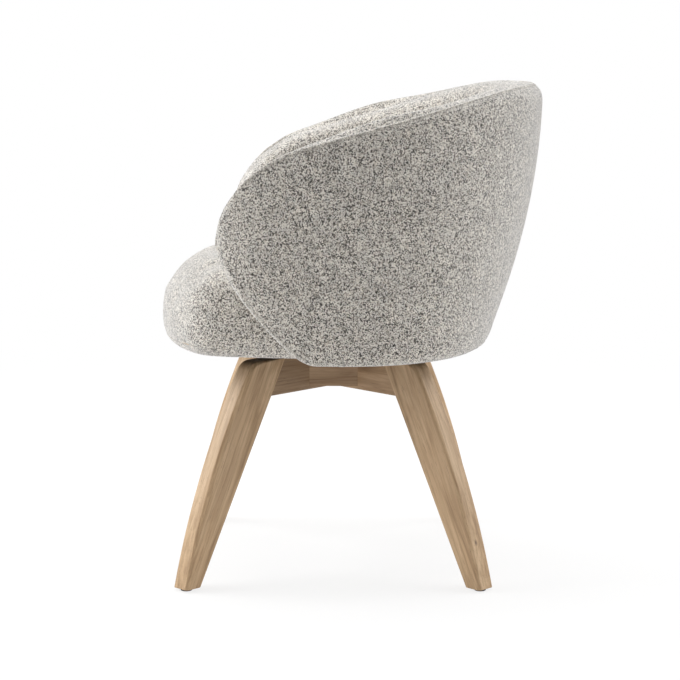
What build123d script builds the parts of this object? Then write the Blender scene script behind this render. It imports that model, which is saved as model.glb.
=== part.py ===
from build123d import *
import os
from collections import namedtuple
from math import acos, asin, atan2, cos, degrees, hypot, radians, sin, sqrt

# Swivel armchair: an oak cross base, a ball-bearing swivel plate and an upholstered seat with a back that
# wraps round into two arms. Millimetres, +Z up. The chair faces -Y, the floor is Z = 0 and the origin lies
# on the floor under the middle of the chair's box.

# Overall sizes
DEPTH = 614.0
BACK_WIDTH = 600.0
SWIVEL_FROM_FRONT = 278.0
SWIVEL_LIMIT = 90.0

# Leg frame
GLIDE_HEIGHT = 4.0
GLIDE_DIAMETER = 18.0
GLIDE_EDGE = 1.0
NAIL_DIAMETER = 4.0
NAIL_LENGTH = 16.0
LEG_TOP = 344.0
LEG_THICKNESS = 34.0
FOOT_REACH = 336.5
FOOT_WIDTH = 28.5
LEG_TOP_REACH = 193.0
LEG_TOP_WIDTH = 69.0
LEG_OUTER_BOW = 15.0
LEG_ELBOW_RADIUS = 24.0
LEG_CHAMFER = 6.0
FOOT_CHAMFER = 2.0
BEAM_THICKNESS = 30.0
BEAM_HEIGHT = 58.0
BLOCK_FACE_REACH = 60.0
BLOCK_HEIGHT = 53.0
DOWEL_DIAMETER = 10.0
DOWEL_LENGTH = 50.0
DOWEL_PITCH = 26.0
WOOD_CLEARANCE = 0.1

# Swivel
PLATE_SIZE = 180.0
PLATE_CORNER = 14.0
PLATE_THICKNESS = 3.0
RACE_INNER_RADIUS = 33.0
RACE_OUTER_RADIUS = 57.0
RACE_THICKNESS = 3.5
BALL_CIRCLE_RADIUS = 45.0
BALL_DIAMETER = 8.0
BALL_COUNT = 12
BALL_CLEARANCE = 0.3
RACE_SPACE = 5.0
CAGE_THICKNESS = 2.8
CAGE_WIDTH = 16.0
PIVOT_DIAMETER = 12.0
PIVOT_HEAD_DIAMETER = 22.0
PIVOT_HEAD_HEIGHT = 6.0
PIVOT_POCKET_CLEARANCE = 1.0
RUNNING_CLEARANCE = 0.05
BUSH_WALL = 2.0
BUSH_FLANGE_WIDTH = 3.0
BUSH_FLANGE_HEIGHT = 2.0
WASHER_DIAMETER = 28.0
WASHER_THICKNESS = 2.0
WASHER_GAP = 0.2
NUT_FLATS = 19.0
NUT_HEIGHT = 8.0
STOP_CIRCLE_RADIUS = 75.0
STOP_DIAMETER = 6.0
STOP_CLEARANCE = 0.4
BASE_SCREW_CIRCLE_RADIUS = 86.0
BASE_SCREW_DIAMETER = 5.0
BASE_SCREW_LENGTH = 35.0
BASE_SCREW_HEAD_DIAMETER = 9.0
BASE_SCREW_HEAD_HEIGHT = 3.0
PLATE_BOLT_PITCH = 130.0
PLATE_BOLT_DIAMETER = 6.0
PLATE_BOLT_LENGTH = 14.0
PLATE_BOLT_HEAD_DIAMETER = 11.0
PLATE_BOLT_HEAD_HEIGHT = 4.0
T_NUT_BARREL = 8.5
T_NUT_FLANGE = 18.0
T_NUT_FLANGE_THICKNESS = 1.5
T_NUT_LENGTH = 11.0
THREAD_CLEARANCE = 0.1

# Cloth, foam and board
CLOTH = 2.0
CLOTH_GAP = 0.5
INNER_FOAM_GAP = 1.2
BACK_BOARD_GAP = 1.5
BACK_BOARD_EASE = 6.0
DUST_COVER_THICKNESS = 0.8
DUST_COVER_MARGIN = 14.0
DUST_COVER_PLATE_GAP = 3.0
BOARD_THICKNESS = 15.0
BOARD_HOLE_DIAMETER = 44.0
BOARD_EDGE_GAP = 0.6
WING_FRONT_MARGIN = 15.0

# Seat cushion: four large arcs joined by rounded corners, with a crowned top and drawn-in sides
SEAT_CROWN = 502.0
SEAT_WIDEST = 388.0
SEAT_UNDERSIDE_TUCK = 18.0
SEAT_CROWN_POWER = 2.5
SEAT_SIDE_POWER = 9.0
SEAT_FRONT_RADIUS = 340.0
SEAT_FRONT_CORNER = 75.0
SEAT_REAR_INSET = 157.0
SEAT_REAR_RADIUS = 360.0
SEAT_REAR_CORNER = 116.0
SEAT_SIDE_GAP = 4.0
FIRM_FOAM_HEIGHT = 53.0
FOAM_LAYER_GAP = 0.3

# Back and arms: outer shape
BACK_BOTTOM = 357.0
RIM_REAR = 778.0
RIM_SLOPE = 0.275
RIM_EASE = 60.0
RIM_CROWN = 1.0
ARM_LENGTH = 219.0
ARM_TOE_IN = 22.0
NOSE_LENGTH = 142.0
NOSE_TIP_HEIGHT = 542.0
NOSE_ROUND = 45.0
NOSE_THICKNESS = 48.0
UNDERCUT_LENGTH = 149.0
UNDERCUT_RISE = 156.0
UNDERCUT_POWER = 1.36
UNDER_NOSE_LENGTH = 44.0
REAR_LEAN = 93.0
SIDE_LEAN = 16.0
LEAN_SPREAD = 2.4

# Back and arms: padding, measured in from the rim's outline
ARM_PADDING = 62.0
ARM_CROWN = 4.0
REAR_PADDING_TOP = 60.0
REAR_PADDING_LUMBAR = 155.0
REAR_PADDING_BOTTOM = 144.0
LUMBAR_HEIGHT = 520.0
PADDING_SPREAD = 1.5
RIM_OUTER_RADIUS_REAR = 26.0
RIM_OUTER_RADIUS_ARM = 10.0
RIM_INNER_RADIUS = 34.0
BOTTOM_RADIUS = 16.0
RIM_OUTER_SHARE = 0.36
RIM_INNER_SHARE = 0.46
BOTTOM_SHARE = 0.3
OUTER_FOAM = 6.0
BACK_FRAME_THICKNESS = 10.0
BACK_FRAME_TOP_DROP = 30.0
BACK_FRAME_TOP_SHARE = 0.4
BACK_FRAME_BOTTOM_INSET = 4.5
ARM_EDGE_LIFT = 9.0
FOAM_BITE = 1.0
FRAME_SCREW_COUNT = 7
FRAME_SCREW_DIAMETER = 4.0
FRAME_SCREW_LENGTH = 45.0
FRAME_SCREW_HEAD_DIAMETER = 8.0
FRAME_SCREW_HEAD_HEIGHT = 3.0
FRAME_SCREW_SINK = 5.0

# Heights and places that follow from the sizes above
FRONT_Y = -DEPTH / 2
REAR_Y = DEPTH / 2
SWIVEL_Y = FRONT_Y + SWIVEL_FROM_FRONT
BACK_RADIUS = BACK_WIDTH / 2
BACK_CENTRE_Y = REAR_Y - BACK_RADIUS
NOSE_Y = BACK_CENTRE_Y - ARM_LENGTH
ARM_RADIUS = (ARM_LENGTH**2 + ARM_TOE_IN**2) / (2 * ARM_TOE_IN)
LOWER_RACE_BASE = LEG_TOP + PLATE_THICKNESS
LOWER_RACE_TOP = LOWER_RACE_BASE + RACE_THICKNESS
BALL_Z = LOWER_RACE_TOP + RACE_SPACE / 2
UPPER_RACE_BASE = LOWER_RACE_TOP + RACE_SPACE
UPPER_PLATE_BASE = UPPER_RACE_BASE + RACE_THICKNESS
BOARD_BASE = UPPER_PLATE_BASE + PLATE_THICKNESS
BOARD_TOP = BOARD_BASE + BOARD_THICKNESS
SEAT_HALF_WIDTH = BACK_RADIUS - ARM_PADDING - SEAT_SIDE_GAP
SEAT_REAR = REAR_Y - SEAT_REAR_INSET
SEAT_MIDDLE_Y = (FRONT_Y + SEAT_REAR) / 2
FOAM_INSET = CLOTH + CLOTH_GAP
INNER_FOAM_INSET = CLOTH + INNER_FOAM_GAP
FRAME_OUTER_INSET = FOAM_INSET + OUTER_FOAM + FOAM_LAYER_GAP
FRAME_INNER_INSET = FRAME_OUTER_INSET + BACK_FRAME_THICKNESS
LEG_NAMES = {"rear_left": 45, "rear_right": 135, "front_right": 225, "front_left": 315}
BLOCK_NAMES = {"left": 0, "rear": 90, "right": 180, "front": 270}

os.makedirs("parts", exist_ok=True)


def save(piece, name):
    """Label a finished piece and write it under its own name."""
    piece.part.label = name
    export_step(piece.part, f"parts/{name}.step")


# Oak leg frame
def radial_plane(angle):
    """Upright plane through the swivel axis: x runs outwards at the angle, y runs up."""
    along = cos(radians(angle))
    across = sin(radians(angle))
    return Plane(origin=(0, SWIVEL_Y, 0), x_dir=(along, across, 0), z_dir=(across, -along, 0))


def level_plane(height, angle=0):
    """Level plane on the swivel axis, with x turned to the angle."""
    along = cos(radians(angle))
    across = sin(radians(angle))
    return Plane(origin=(0, SWIVEL_Y, height), x_dir=(along, across, 0), z_dir=(0, 0, 1))


def outward_plane(angle, reach, height):
    """Plane that faces outwards at the angle, at a reach from the swivel axis."""
    along = cos(radians(angle))
    across = sin(radians(angle))
    return Plane(origin=(reach * along, SWIVEL_Y + reach * across, height), z_dir=(along, across, 0))


def leg_inner_reach(height):
    """Reach of the leg's straight inner edge at a height."""
    rise = (height - GLIDE_HEIGHT) / (LEG_TOP - GLIDE_HEIGHT)
    foot = FOOT_REACH - FOOT_WIDTH
    top = LEG_TOP_REACH - LEG_TOP_WIDTH
    return foot + rise * (top - foot)


def leg_middle_reach(height):
    """Reach of the leg's middle line at a height."""
    rise = (height - GLIDE_HEIGHT) / (LEG_TOP - GLIDE_HEIGHT)
    width = FOOT_WIDTH + rise * (LEG_TOP_WIDTH - FOOT_WIDTH)
    return leg_inner_reach(height) + width / 2


BEAM_BASE = LEG_TOP - BEAM_HEIGHT
BEAM_MIDDLE = LEG_TOP - BEAM_HEIGHT / 2
DOWEL_HEIGHTS = (BEAM_MIDDLE - DOWEL_PITCH / 2, BEAM_MIDDLE + DOWEL_PITCH / 2)
GLIDE_REACH = FOOT_REACH - FOOT_WIDTH / 2


def dowel_rods(angle, diameter, length, mode):
    """Two level rods across the joint between a leg and its beam."""
    for height in DOWEL_HEIGHTS:
        with BuildSketch(outward_plane(angle, leg_inner_reach(height), height)) as rod:
            Circle(diameter / 2)
        extrude(rod.sketch, amount=length / 2, both=True, mode=mode)


for place, angle in LEG_NAMES.items():
    plane = radial_plane(angle)
    with BuildPart() as leg:
        with BuildSketch(plane):
            with BuildLine():
                SagittaArc((FOOT_REACH, GLIDE_HEIGHT), (LEG_TOP_REACH, LEG_TOP), -LEG_OUTER_BOW)
                Polyline(
                    (LEG_TOP_REACH, LEG_TOP),
                    (LEG_TOP_REACH - LEG_TOP_WIDTH, LEG_TOP),
                    (FOOT_REACH - FOOT_WIDTH, GLIDE_HEIGHT),
                    (FOOT_REACH, GLIDE_HEIGHT),
                )
            make_face()
            fillet(vertices().group_by(Axis.Y)[-1].sort_by(Axis.X)[-1], LEG_ELBOW_RADIUS)
        extrude(amount=LEG_THICKNESS / 2, both=True)
        outer_edges = []
        for edge in edges():
            spot = plane.to_local_coords(edge.center())
            on_side = abs(abs(spot.Z) - LEG_THICKNESS / 2) < WOOD_CLEARANCE
            if on_side and spot.X > leg_middle_reach(spot.Y) + LEG_CHAMFER:
                outer_edges.append(edge)
        chamfer(outer_edges, LEG_CHAMFER)
        chamfer(faces().sort_by(Axis.Z)[0].edges(), FOOT_CHAMFER)
        dowel_rods(angle, DOWEL_DIAMETER + WOOD_CLEARANCE, DOWEL_LENGTH + WOOD_CLEARANCE, Mode.SUBTRACT)
        with BuildSketch(level_plane(GLIDE_HEIGHT, angle)):
            with Locations((GLIDE_REACH, 0)):
                Circle((NAIL_DIAMETER + WOOD_CLEARANCE) / 2)
        extrude(amount=NAIL_LENGTH + WOOD_CLEARANCE, mode=Mode.SUBTRACT)
    save(leg, f"leg_{place}")

    with BuildPart() as glide:
        with BuildSketch(level_plane(0, angle)):
            with Locations((GLIDE_REACH, 0)):
                Circle(GLIDE_DIAMETER / 2)
        extrude(amount=GLIDE_HEIGHT)
        fillet(edges().sort_by(Axis.Z)[0], GLIDE_EDGE)
        with BuildSketch(level_plane(GLIDE_HEIGHT, angle)):
            with Locations((GLIDE_REACH, 0)):
                Circle(NAIL_DIAMETER / 2)
        extrude(amount=NAIL_LENGTH)
    save(glide, f"glide_{place}")

for name, angle, lap_base in (("cross_beam_lower", 45, BEAM_MIDDLE), ("cross_beam_upper", 135, BEAM_BASE)):
    with BuildPart() as beam:
        with BuildSketch(radial_plane(angle)):
            with BuildLine():
                Polyline(
                    (-leg_inner_reach(BEAM_BASE), BEAM_BASE),
                    (leg_inner_reach(BEAM_BASE), BEAM_BASE),
                    (leg_inner_reach(LEG_TOP), LEG_TOP),
                    (-leg_inner_reach(LEG_TOP), LEG_TOP),
                    close=True,
                )
            make_face()
        extrude(amount=BEAM_THICKNESS / 2, both=True)
        with BuildSketch(level_plane(lap_base, angle)):
            Rectangle(BEAM_THICKNESS, BEAM_THICKNESS)
        extrude(amount=BEAM_HEIGHT / 2, mode=Mode.SUBTRACT)
        for side in (angle, angle + 180):
            dowel_rods(side, DOWEL_DIAMETER + WOOD_CLEARANCE, DOWEL_LENGTH + WOOD_CLEARANCE, Mode.SUBTRACT)
        with BuildSketch(level_plane(LEG_TOP, angle)):
            with Locations((-BASE_SCREW_CIRCLE_RADIUS, 0), (BASE_SCREW_CIRCLE_RADIUS, 0)):
                Circle((BASE_SCREW_DIAMETER + WOOD_CLEARANCE) / 2)
        extrude(amount=-BASE_SCREW_LENGTH, mode=Mode.SUBTRACT)
        with BuildSketch(level_plane(LEG_TOP)):
            Circle(PIVOT_HEAD_DIAMETER / 2 + PIVOT_POCKET_CLEARANCE)
        extrude(amount=-PIVOT_HEAD_HEIGHT - PIVOT_POCKET_CLEARANCE, mode=Mode.SUBTRACT)
    save(beam, name)

with BuildPart() as leg_dowels:
    for angle in LEG_NAMES.values():
        dowel_rods(angle, DOWEL_DIAMETER, DOWEL_LENGTH, Mode.ADD)
save(leg_dowels, "leg_dowels")

BLOCK_APEX = BEAM_THICKNESS / 2 * sqrt(2)
BLOCK_HALF_FACE = BLOCK_FACE_REACH - BLOCK_APEX
for place, angle in BLOCK_NAMES.items():
    with BuildPart() as block:
        with BuildSketch(level_plane(LEG_TOP - BLOCK_HEIGHT, angle)):
            with BuildLine():
                Polyline(
                    (BLOCK_APEX, 0),
                    (BLOCK_FACE_REACH, -BLOCK_HALF_FACE),
                    (BLOCK_FACE_REACH, BLOCK_HALF_FACE),
                    close=True,
                )
            make_face()
        extrude(amount=BLOCK_HEIGHT)
    save(block, f"corner_block_{place}")

# Swivel: two plates on a ball race, held by a pivot pin and stopped by a pin in an arc slot
STOP_TRAVEL = SWIVEL_LIMIT + degrees((STOP_DIAMETER / 2 + STOP_CLEARANCE) / STOP_CIRCLE_RADIUS)
slot_path = CenterArc((0, 0), STOP_CIRCLE_RADIUS, 90 - STOP_TRAVEL, 2 * STOP_TRAVEL, mode=Mode.PRIVATE)
PIVOT_HOLE = PIVOT_DIAMETER + 2 * RUNNING_CLEARANCE
BUSH_DIAMETER = PIVOT_HOLE + 2 * BUSH_WALL

with BuildPart() as lower_plate:
    with BuildSketch(level_plane(LEG_TOP)):
        RectangleRounded(PLATE_SIZE, PLATE_SIZE, PLATE_CORNER)
        Circle(PIVOT_HOLE / 2, mode=Mode.SUBTRACT)
        with PolarLocations(BASE_SCREW_CIRCLE_RADIUS, 4, 45):
            Circle(BASE_SCREW_DIAMETER / 2 + RUNNING_CLEARANCE, mode=Mode.SUBTRACT)
        SlotArc(slot_path, STOP_DIAMETER + 2 * STOP_CLEARANCE, mode=Mode.SUBTRACT)
    extrude(amount=PLATE_THICKNESS)
save(lower_plate, "swivel_lower_plate")

with BuildPart() as upper_plate:
    with BuildSketch(level_plane(UPPER_PLATE_BASE)):
        RectangleRounded(PLATE_SIZE, PLATE_SIZE, PLATE_CORNER)
        Circle(BUSH_DIAMETER / 2, mode=Mode.SUBTRACT)
        with GridLocations(PLATE_BOLT_PITCH, PLATE_BOLT_PITCH, 2, 2):
            Circle(PLATE_BOLT_DIAMETER / 2 + THREAD_CLEARANCE, mode=Mode.SUBTRACT)
    extrude(amount=PLATE_THICKNESS)
save(upper_plate, "swivel_upper_plate")

for name, base in (("lower_race", LOWER_RACE_BASE), ("upper_race", UPPER_RACE_BASE)):
    with BuildPart() as race:
        with BuildSketch(level_plane(base)):
            Circle(RACE_OUTER_RADIUS)
            Circle(RACE_INNER_RADIUS, mode=Mode.SUBTRACT)
        extrude(amount=RACE_THICKNESS)
        with Locations((0, SWIVEL_Y, BALL_Z)):
            Torus(BALL_CIRCLE_RADIUS, BALL_DIAMETER / 2 + BALL_CLEARANCE, mode=Mode.SUBTRACT)
    save(race, name)

with BuildPart() as bearing_cage:
    with BuildSketch(level_plane(BALL_Z - CAGE_THICKNESS / 2)):
        Circle(BALL_CIRCLE_RADIUS + CAGE_WIDTH / 2)
        Circle(BALL_CIRCLE_RADIUS - CAGE_WIDTH / 2, mode=Mode.SUBTRACT)
        with PolarLocations(BALL_CIRCLE_RADIUS, BALL_COUNT):
            Circle(BALL_DIAMETER / 2 + BALL_CLEARANCE, mode=Mode.SUBTRACT)
    extrude(amount=CAGE_THICKNESS)
save(bearing_cage, "bearing_cage")

with BuildPart() as bearing_balls:
    with Locations((0, SWIVEL_Y, BALL_Z)):
        with PolarLocations(BALL_CIRCLE_RADIUS, BALL_COUNT):
            Sphere(BALL_DIAMETER / 2)
save(bearing_balls, "bearing_balls")

BUSH_TOP = BOARD_BASE + BUSH_FLANGE_HEIGHT
WASHER_BASE = BUSH_TOP + WASHER_GAP
NUT_BASE = WASHER_BASE + WASHER_THICKNESS
PIVOT_TOP = NUT_BASE + NUT_HEIGHT

with BuildPart() as pivot_pin:
    with BuildSketch(level_plane(LEG_TOP - PIVOT_HEAD_HEIGHT)):
        Circle(PIVOT_HEAD_DIAMETER / 2)
    extrude(amount=PIVOT_HEAD_HEIGHT)
    with BuildSketch(level_plane(LEG_TOP)):
        Circle(PIVOT_DIAMETER / 2)
    extrude(amount=PIVOT_TOP - LEG_TOP)
save(pivot_pin, "pivot_pin")

with BuildPart() as pivot_bush:
    with BuildSketch(level_plane(UPPER_PLATE_BASE)):
        Circle(BUSH_DIAMETER / 2)
    extrude(amount=PLATE_THICKNESS)
    with BuildSketch(level_plane(BOARD_BASE)):
        Circle(BUSH_DIAMETER / 2 + BUSH_FLANGE_WIDTH)
    extrude(amount=BUSH_FLANGE_HEIGHT)
    with BuildSketch(level_plane(UPPER_PLATE_BASE)):
        Circle(PIVOT_HOLE / 2)
    extrude(amount=PLATE_THICKNESS + BUSH_FLANGE_HEIGHT, mode=Mode.SUBTRACT)
save(pivot_bush, "pivot_bush")

with BuildPart() as pivot_washer:
    with BuildSketch(level_plane(WASHER_BASE)):
        Circle(WASHER_DIAMETER / 2)
        Circle(PIVOT_HOLE / 2, mode=Mode.SUBTRACT)
    extrude(amount=WASHER_THICKNESS)
save(pivot_washer, "pivot_washer")

with BuildPart() as pivot_nut:
    with BuildSketch(level_plane(NUT_BASE)):
        RegularPolygon(NUT_FLATS / 2, 6, major_radius=False)
        Circle(PIVOT_HOLE / 2, mode=Mode.SUBTRACT)
    extrude(amount=NUT_HEIGHT)
save(pivot_nut, "pivot_nut")

with BuildPart() as stop_pin:
    with BuildSketch(level_plane(LEG_TOP + STOP_CLEARANCE)):
        with Locations((0, STOP_CIRCLE_RADIUS)):
            Circle(STOP_DIAMETER / 2)
    extrude(amount=UPPER_PLATE_BASE - LEG_TOP - STOP_CLEARANCE)
save(stop_pin, "swivel_stop_pin")

with BuildPart() as base_screws:
    with BuildSketch(level_plane(LOWER_RACE_BASE)):
        with PolarLocations(BASE_SCREW_CIRCLE_RADIUS, 4, 45):
            Circle(BASE_SCREW_HEAD_DIAMETER / 2)
    extrude(amount=BASE_SCREW_HEAD_HEIGHT)
    with BuildSketch(level_plane(LOWER_RACE_BASE)):
        with PolarLocations(BASE_SCREW_CIRCLE_RADIUS, 4, 45):
            Circle(BASE_SCREW_DIAMETER / 2)
    extrude(amount=-BASE_SCREW_LENGTH)
save(base_screws, "base_plate_screws")

with BuildPart() as plate_bolts:
    with BuildSketch(level_plane(UPPER_PLATE_BASE)):
        with GridLocations(PLATE_BOLT_PITCH, PLATE_BOLT_PITCH, 2, 2):
            Circle(PLATE_BOLT_HEAD_DIAMETER / 2)
    extrude(amount=-PLATE_BOLT_HEAD_HEIGHT)
    with BuildSketch(level_plane(UPPER_PLATE_BASE)):
        with GridLocations(PLATE_BOLT_PITCH, PLATE_BOLT_PITCH, 2, 2):
            Circle(PLATE_BOLT_DIAMETER / 2)
    extrude(amount=PLATE_BOLT_LENGTH)
save(plate_bolts, "upper_plate_bolts")

T_NUT_BORE = PLATE_BOLT_DIAMETER + 2 * THREAD_CLEARANCE
with BuildPart() as t_nuts:
    with BuildSketch(level_plane(BOARD_TOP - T_NUT_LENGTH)):
        with GridLocations(PLATE_BOLT_PITCH, PLATE_BOLT_PITCH, 2, 2):
            Circle(T_NUT_BARREL / 2)
    extrude(amount=T_NUT_LENGTH)
    with BuildSketch(level_plane(BOARD_TOP - T_NUT_FLANGE_THICKNESS)):
        with GridLocations(PLATE_BOLT_PITCH, PLATE_BOLT_PITCH, 2, 2):
            Circle(T_NUT_FLANGE / 2)
    extrude(amount=T_NUT_FLANGE_THICKNESS)
    with BuildSketch(level_plane(BOARD_TOP - T_NUT_LENGTH)):
        with GridLocations(PLATE_BOLT_PITCH, PLATE_BOLT_PITCH, 2, 2):
            Circle(T_NUT_BORE / 2)
    extrude(amount=T_NUT_LENGTH, mode=Mode.SUBTRACT)
save(t_nuts, "board_t_nuts")

# Back and arms: a plan curve of a half circle and two gently curved arms, with upright sections across it
Station = namedtuple("Station", "x y normal_x normal_y rearness")


def rear_station(angle):
    """Station on the half circle: 0 is the rear centre, 90 the left side, -90 the right side."""
    side = sin(radians(angle))
    back = cos(radians(angle))
    return Station(BACK_RADIUS * side, BACK_CENTRE_Y + BACK_RADIUS * back, side, back, max(back, 0.0))


def arm_station(from_nose, side):
    """Station on an arm, at a distance behind its nose. The side is 1 for left and -1 for right."""
    turn = asin((ARM_LENGTH - from_nose) / ARM_RADIUS)
    reach = BACK_RADIUS - ARM_RADIUS + ARM_RADIUS * cos(turn)
    return Station(side * reach, NOSE_Y + from_nose, side * cos(turn), -sin(turn), 0.0)


def station_plane(station):
    """Upright plane across the back: x runs outwards, y runs up."""
    out = (station.normal_x, station.normal_y, 0)
    return Plane(origin=(station.x, station.y, 0), x_dir=out, z_dir=(station.normal_y, -station.normal_x, 0))


def round_share(distance, length):
    """How far a quarter ellipse has dropped, from 0 at its start to 1 at its end."""
    share = min(max(distance / length, 0.0), 1.0)
    return 1 - sqrt(1 - share**2)


def rim_line(y):
    """Height of the rim before its nose rounds off: a slope that eases out at the rear."""
    return RIM_REAR - RIM_SLOPE * (hypot(REAR_Y - y, RIM_EASE) - RIM_EASE)


def rim_height(y):
    """Height of the rim's top."""
    drop = rim_line(NOSE_Y) - NOSE_TIP_HEIGHT
    return rim_line(y) - drop * round_share(NOSE_Y + NOSE_LENGTH - y, NOSE_LENGTH)


def low_height(y):
    """Height of the lower edge, which sweeps up under the arms to the nose."""
    forward = max(NOSE_Y + UNDERCUT_LENGTH - y, 0.0)
    sweep = UNDERCUT_RISE * (forward / UNDERCUT_LENGTH) ** UNDERCUT_POWER
    lift = NOSE_TIP_HEIGHT - BACK_BOTTOM - UNDERCUT_RISE
    return BACK_BOTTOM + sweep + lift * round_share(NOSE_Y + UNDER_NOSE_LENGTH - y, UNDER_NOSE_LENGTH)


def nose_pinch(station):
    """How much each face closes in towards the arm's middle near the nose."""
    behind = station.y - NOSE_Y if station.rearness == 0 else NOSE_ROUND
    return NOSE_THICKNESS / 2 * round_share(NOSE_ROUND - behind, NOSE_ROUND)


def outer_face(station, z):
    """Outward place of the cloth's outer face at a height: a circle that leans in towards the bottom."""
    lean = SIDE_LEAN + station.rearness**LEAN_SPREAD * (REAR_LEAN - SIDE_LEAN)
    top = RIM_REAR + RIM_CROWN
    radius = ((top - BACK_BOTTOM) ** 2 + lean**2) / (2 * lean)
    return sqrt(radius**2 - (top - z) ** 2) - radius - nose_pinch(station)


def rear_padding(z):
    """Depth of the padding at the rear centre: a parabola through the bottom, lumbar and top depths."""
    low = (BACK_BOTTOM, REAR_PADDING_BOTTOM)
    middle = (LUMBAR_HEIGHT, REAR_PADDING_LUMBAR)
    high = (RIM_REAR, REAR_PADDING_TOP)
    depth = 0.0
    for first, second, third in ((low, middle, high), (middle, low, high), (high, low, middle)):
        weight = (z - second[0]) * (z - third[0]) / ((first[0] - second[0]) * (first[0] - third[0]))
        depth += weight * first[1]
    return depth


def inner_face(station, z):
    """Outward place of the cloth's inner face at a height, with a slight crown along the arms."""
    low = low_height(station.y)
    high = rim_height(station.y)
    share = (z - low) / (high - low)
    crown = ARM_CROWN * 4 * share * (1 - share) * (high - low) / (RIM_REAR - BACK_BOTTOM)
    padding = ARM_PADDING + station.rearness**PADDING_SPREAD * (rear_padding(z) - ARM_PADDING)
    return -padding - crown + nose_pinch(station)


def inner_low_height(station):
    """Height where the inner padding ends: on the board, or on the arm's lower edge further forward."""
    edge = low_height(station.y)
    board = BOARD_TOP + BACK_BOARD_GAP
    return (edge + board + hypot(edge - board, BACK_BOARD_EASE)) / 2


def corner_radii(station):
    """Radii of the section's outer rim, inner rim and bottom corners, limited by the room at the nose."""
    high = rim_height(station.y)
    low = low_height(station.y)
    room = min(outer_face(station, high) - inner_face(station, high), high - low)
    corner = RIM_OUTER_RADIUS_ARM + station.rearness * (RIM_OUTER_RADIUS_REAR - RIM_OUTER_RADIUS_ARM)
    outer = min(corner, RIM_OUTER_SHARE * room)
    inner = min(RIM_INNER_RADIUS, RIM_INNER_SHARE * room)
    bottom = min(BOTTOM_RADIUS, BOTTOM_SHARE * room)
    return outer, inner, bottom


def arc_on(face, station, inset, low, high):
    """Arc along one face between two heights, moved inwards by an inset."""
    middle = (low + high) / 2
    points = [(face(station, z) + inset, z) for z in (low, middle, high)]
    ThreePointArc(*points)


def round_corner(centre, radius, start, end):
    """Arc round a corner's centre between two angles in degrees."""
    points = []
    for angle in (start, (start + end) / 2, end):
        points.append((centre[0] + radius * cos(radians(angle)), centre[1] + radius * sin(radians(angle))))
    ThreePointArc(*points)
    return points[0], points[2]


NOSE_STEPS = (10, 17, 24, 32, 41, 52, 65, 80)
REAR_STEPS = (90, 72, 54, 36, 18)


def stations(first_step):
    """Stations from the right nose round to the left nose, starting at one of the nose steps."""
    distances = [NOSE_LENGTH * (1 - cos(radians(step))) for step in NOSE_STEPS if step >= first_step]
    distances += [NOSE_LENGTH, (NOSE_LENGTH + ARM_LENGTH) / 2]
    right = [arm_station(distance, -1) for distance in distances]
    right += [rear_station(-step) for step in REAR_STEPS]
    left = [rear_station(step) for step in reversed(REAR_STEPS)]
    left += [arm_station(distance, 1) for distance in reversed(distances)]
    return right + [rear_station(0)] + left


SEAM_ANGLE = 68.0
HEM_SHARE = 0.5


def seam_places(station, inset):
    """Corner centres and radii of the section at an inset from the cloth's outside."""
    outer, inner, bottom = corner_radii(station)
    high = rim_height(station.y)
    low = low_height(station.y)
    inner_low = inner_low_height(station)
    outer_centre = (outer_face(station, high - outer) - outer, high - outer)
    inner_centre = (inner_face(station, high - inner) + inner, high - inner)
    low_centre = (outer_face(station, low + bottom) - bottom, low + bottom)
    inner_low_centre = (inner_face(station, inner_low + bottom) + bottom, inner_low + bottom)
    radii = (outer - inset, inner - inset, bottom - inset)
    return outer_centre, inner_centre, low_centre, inner_low_centre, radii


def hem_place(station):
    """Outward place where the outer and inner covers meet under the back."""
    low = low_height(station.y)
    width = outer_face(station, low) - inner_face(station, low)
    return outer_face(station, low) - min(FRAME_INNER_INSET, HEM_SHARE * width)


with BuildPart() as cover_outer:
    for station in stations(NOSE_STEPS[0]):
        hem = hem_place(station)
        outer_centre, _, low_centre, _, outside = seam_places(station, 0)
        _, _, _, _, inside = seam_places(station, CLOTH)
        turn = SEAM_ANGLE - degrees(CLOTH_GAP / 2 / outside[0])
        with BuildSketch(station_plane(station)):
            with BuildLine():
                Line((hem, low_centre[1] - outside[2]), (low_centre[0], low_centre[1] - outside[2]))
                round_corner(low_centre, outside[2], -90, 0)
                arc_on(outer_face, station, 0, low_centre[1], outer_centre[1])
                _, seam_out = round_corner(outer_centre, outside[0], 0, turn)
                _, seam_in = round_corner(outer_centre, inside[0], 0, turn)
                Line(seam_out, seam_in)
                arc_on(outer_face, station, -CLOTH, low_centre[1], outer_centre[1])
                round_corner(low_centre, inside[2], -90, 0)
                Line((low_centre[0], low_centre[1] - inside[2]), (hem, low_centre[1] - inside[2]))
                Line((hem, low_centre[1] - inside[2]), (hem, low_centre[1] - outside[2]))
            make_face()
    loft()
save(cover_outer, "back_cover_outer")


def nose_cap(station, side):
    """Cloth that closes the arm's front end, drawn over the whole section."""
    outer_centre, inner_centre, low_centre, inner_low_centre, radii = seam_places(station, 0)
    with BuildSketch(station_plane(station)) as cap:
        with BuildLine():
            low_outer, _ = round_corner(low_centre, radii[2], -90, 0)
            arc_on(outer_face, station, 0, low_centre[1], outer_centre[1])
            _, top_outer = round_corner(outer_centre, radii[0], 0, 90)
            top_inner, _ = round_corner(inner_centre, radii[1], 90, 180)
            crown = ((top_outer[0] + top_inner[0]) / 2, top_outer[1] + RIM_CROWN)
            ThreePointArc(top_outer, crown, top_inner)
            arc_on(inner_face, station, 0, inner_low_centre[1], inner_centre[1])
            _, low_inner = round_corner(inner_low_centre, radii[2], 180, 270)
            Line(low_inner, low_outer)
        make_face()
    extrude(cap.sketch, amount=side * CLOTH)


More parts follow.
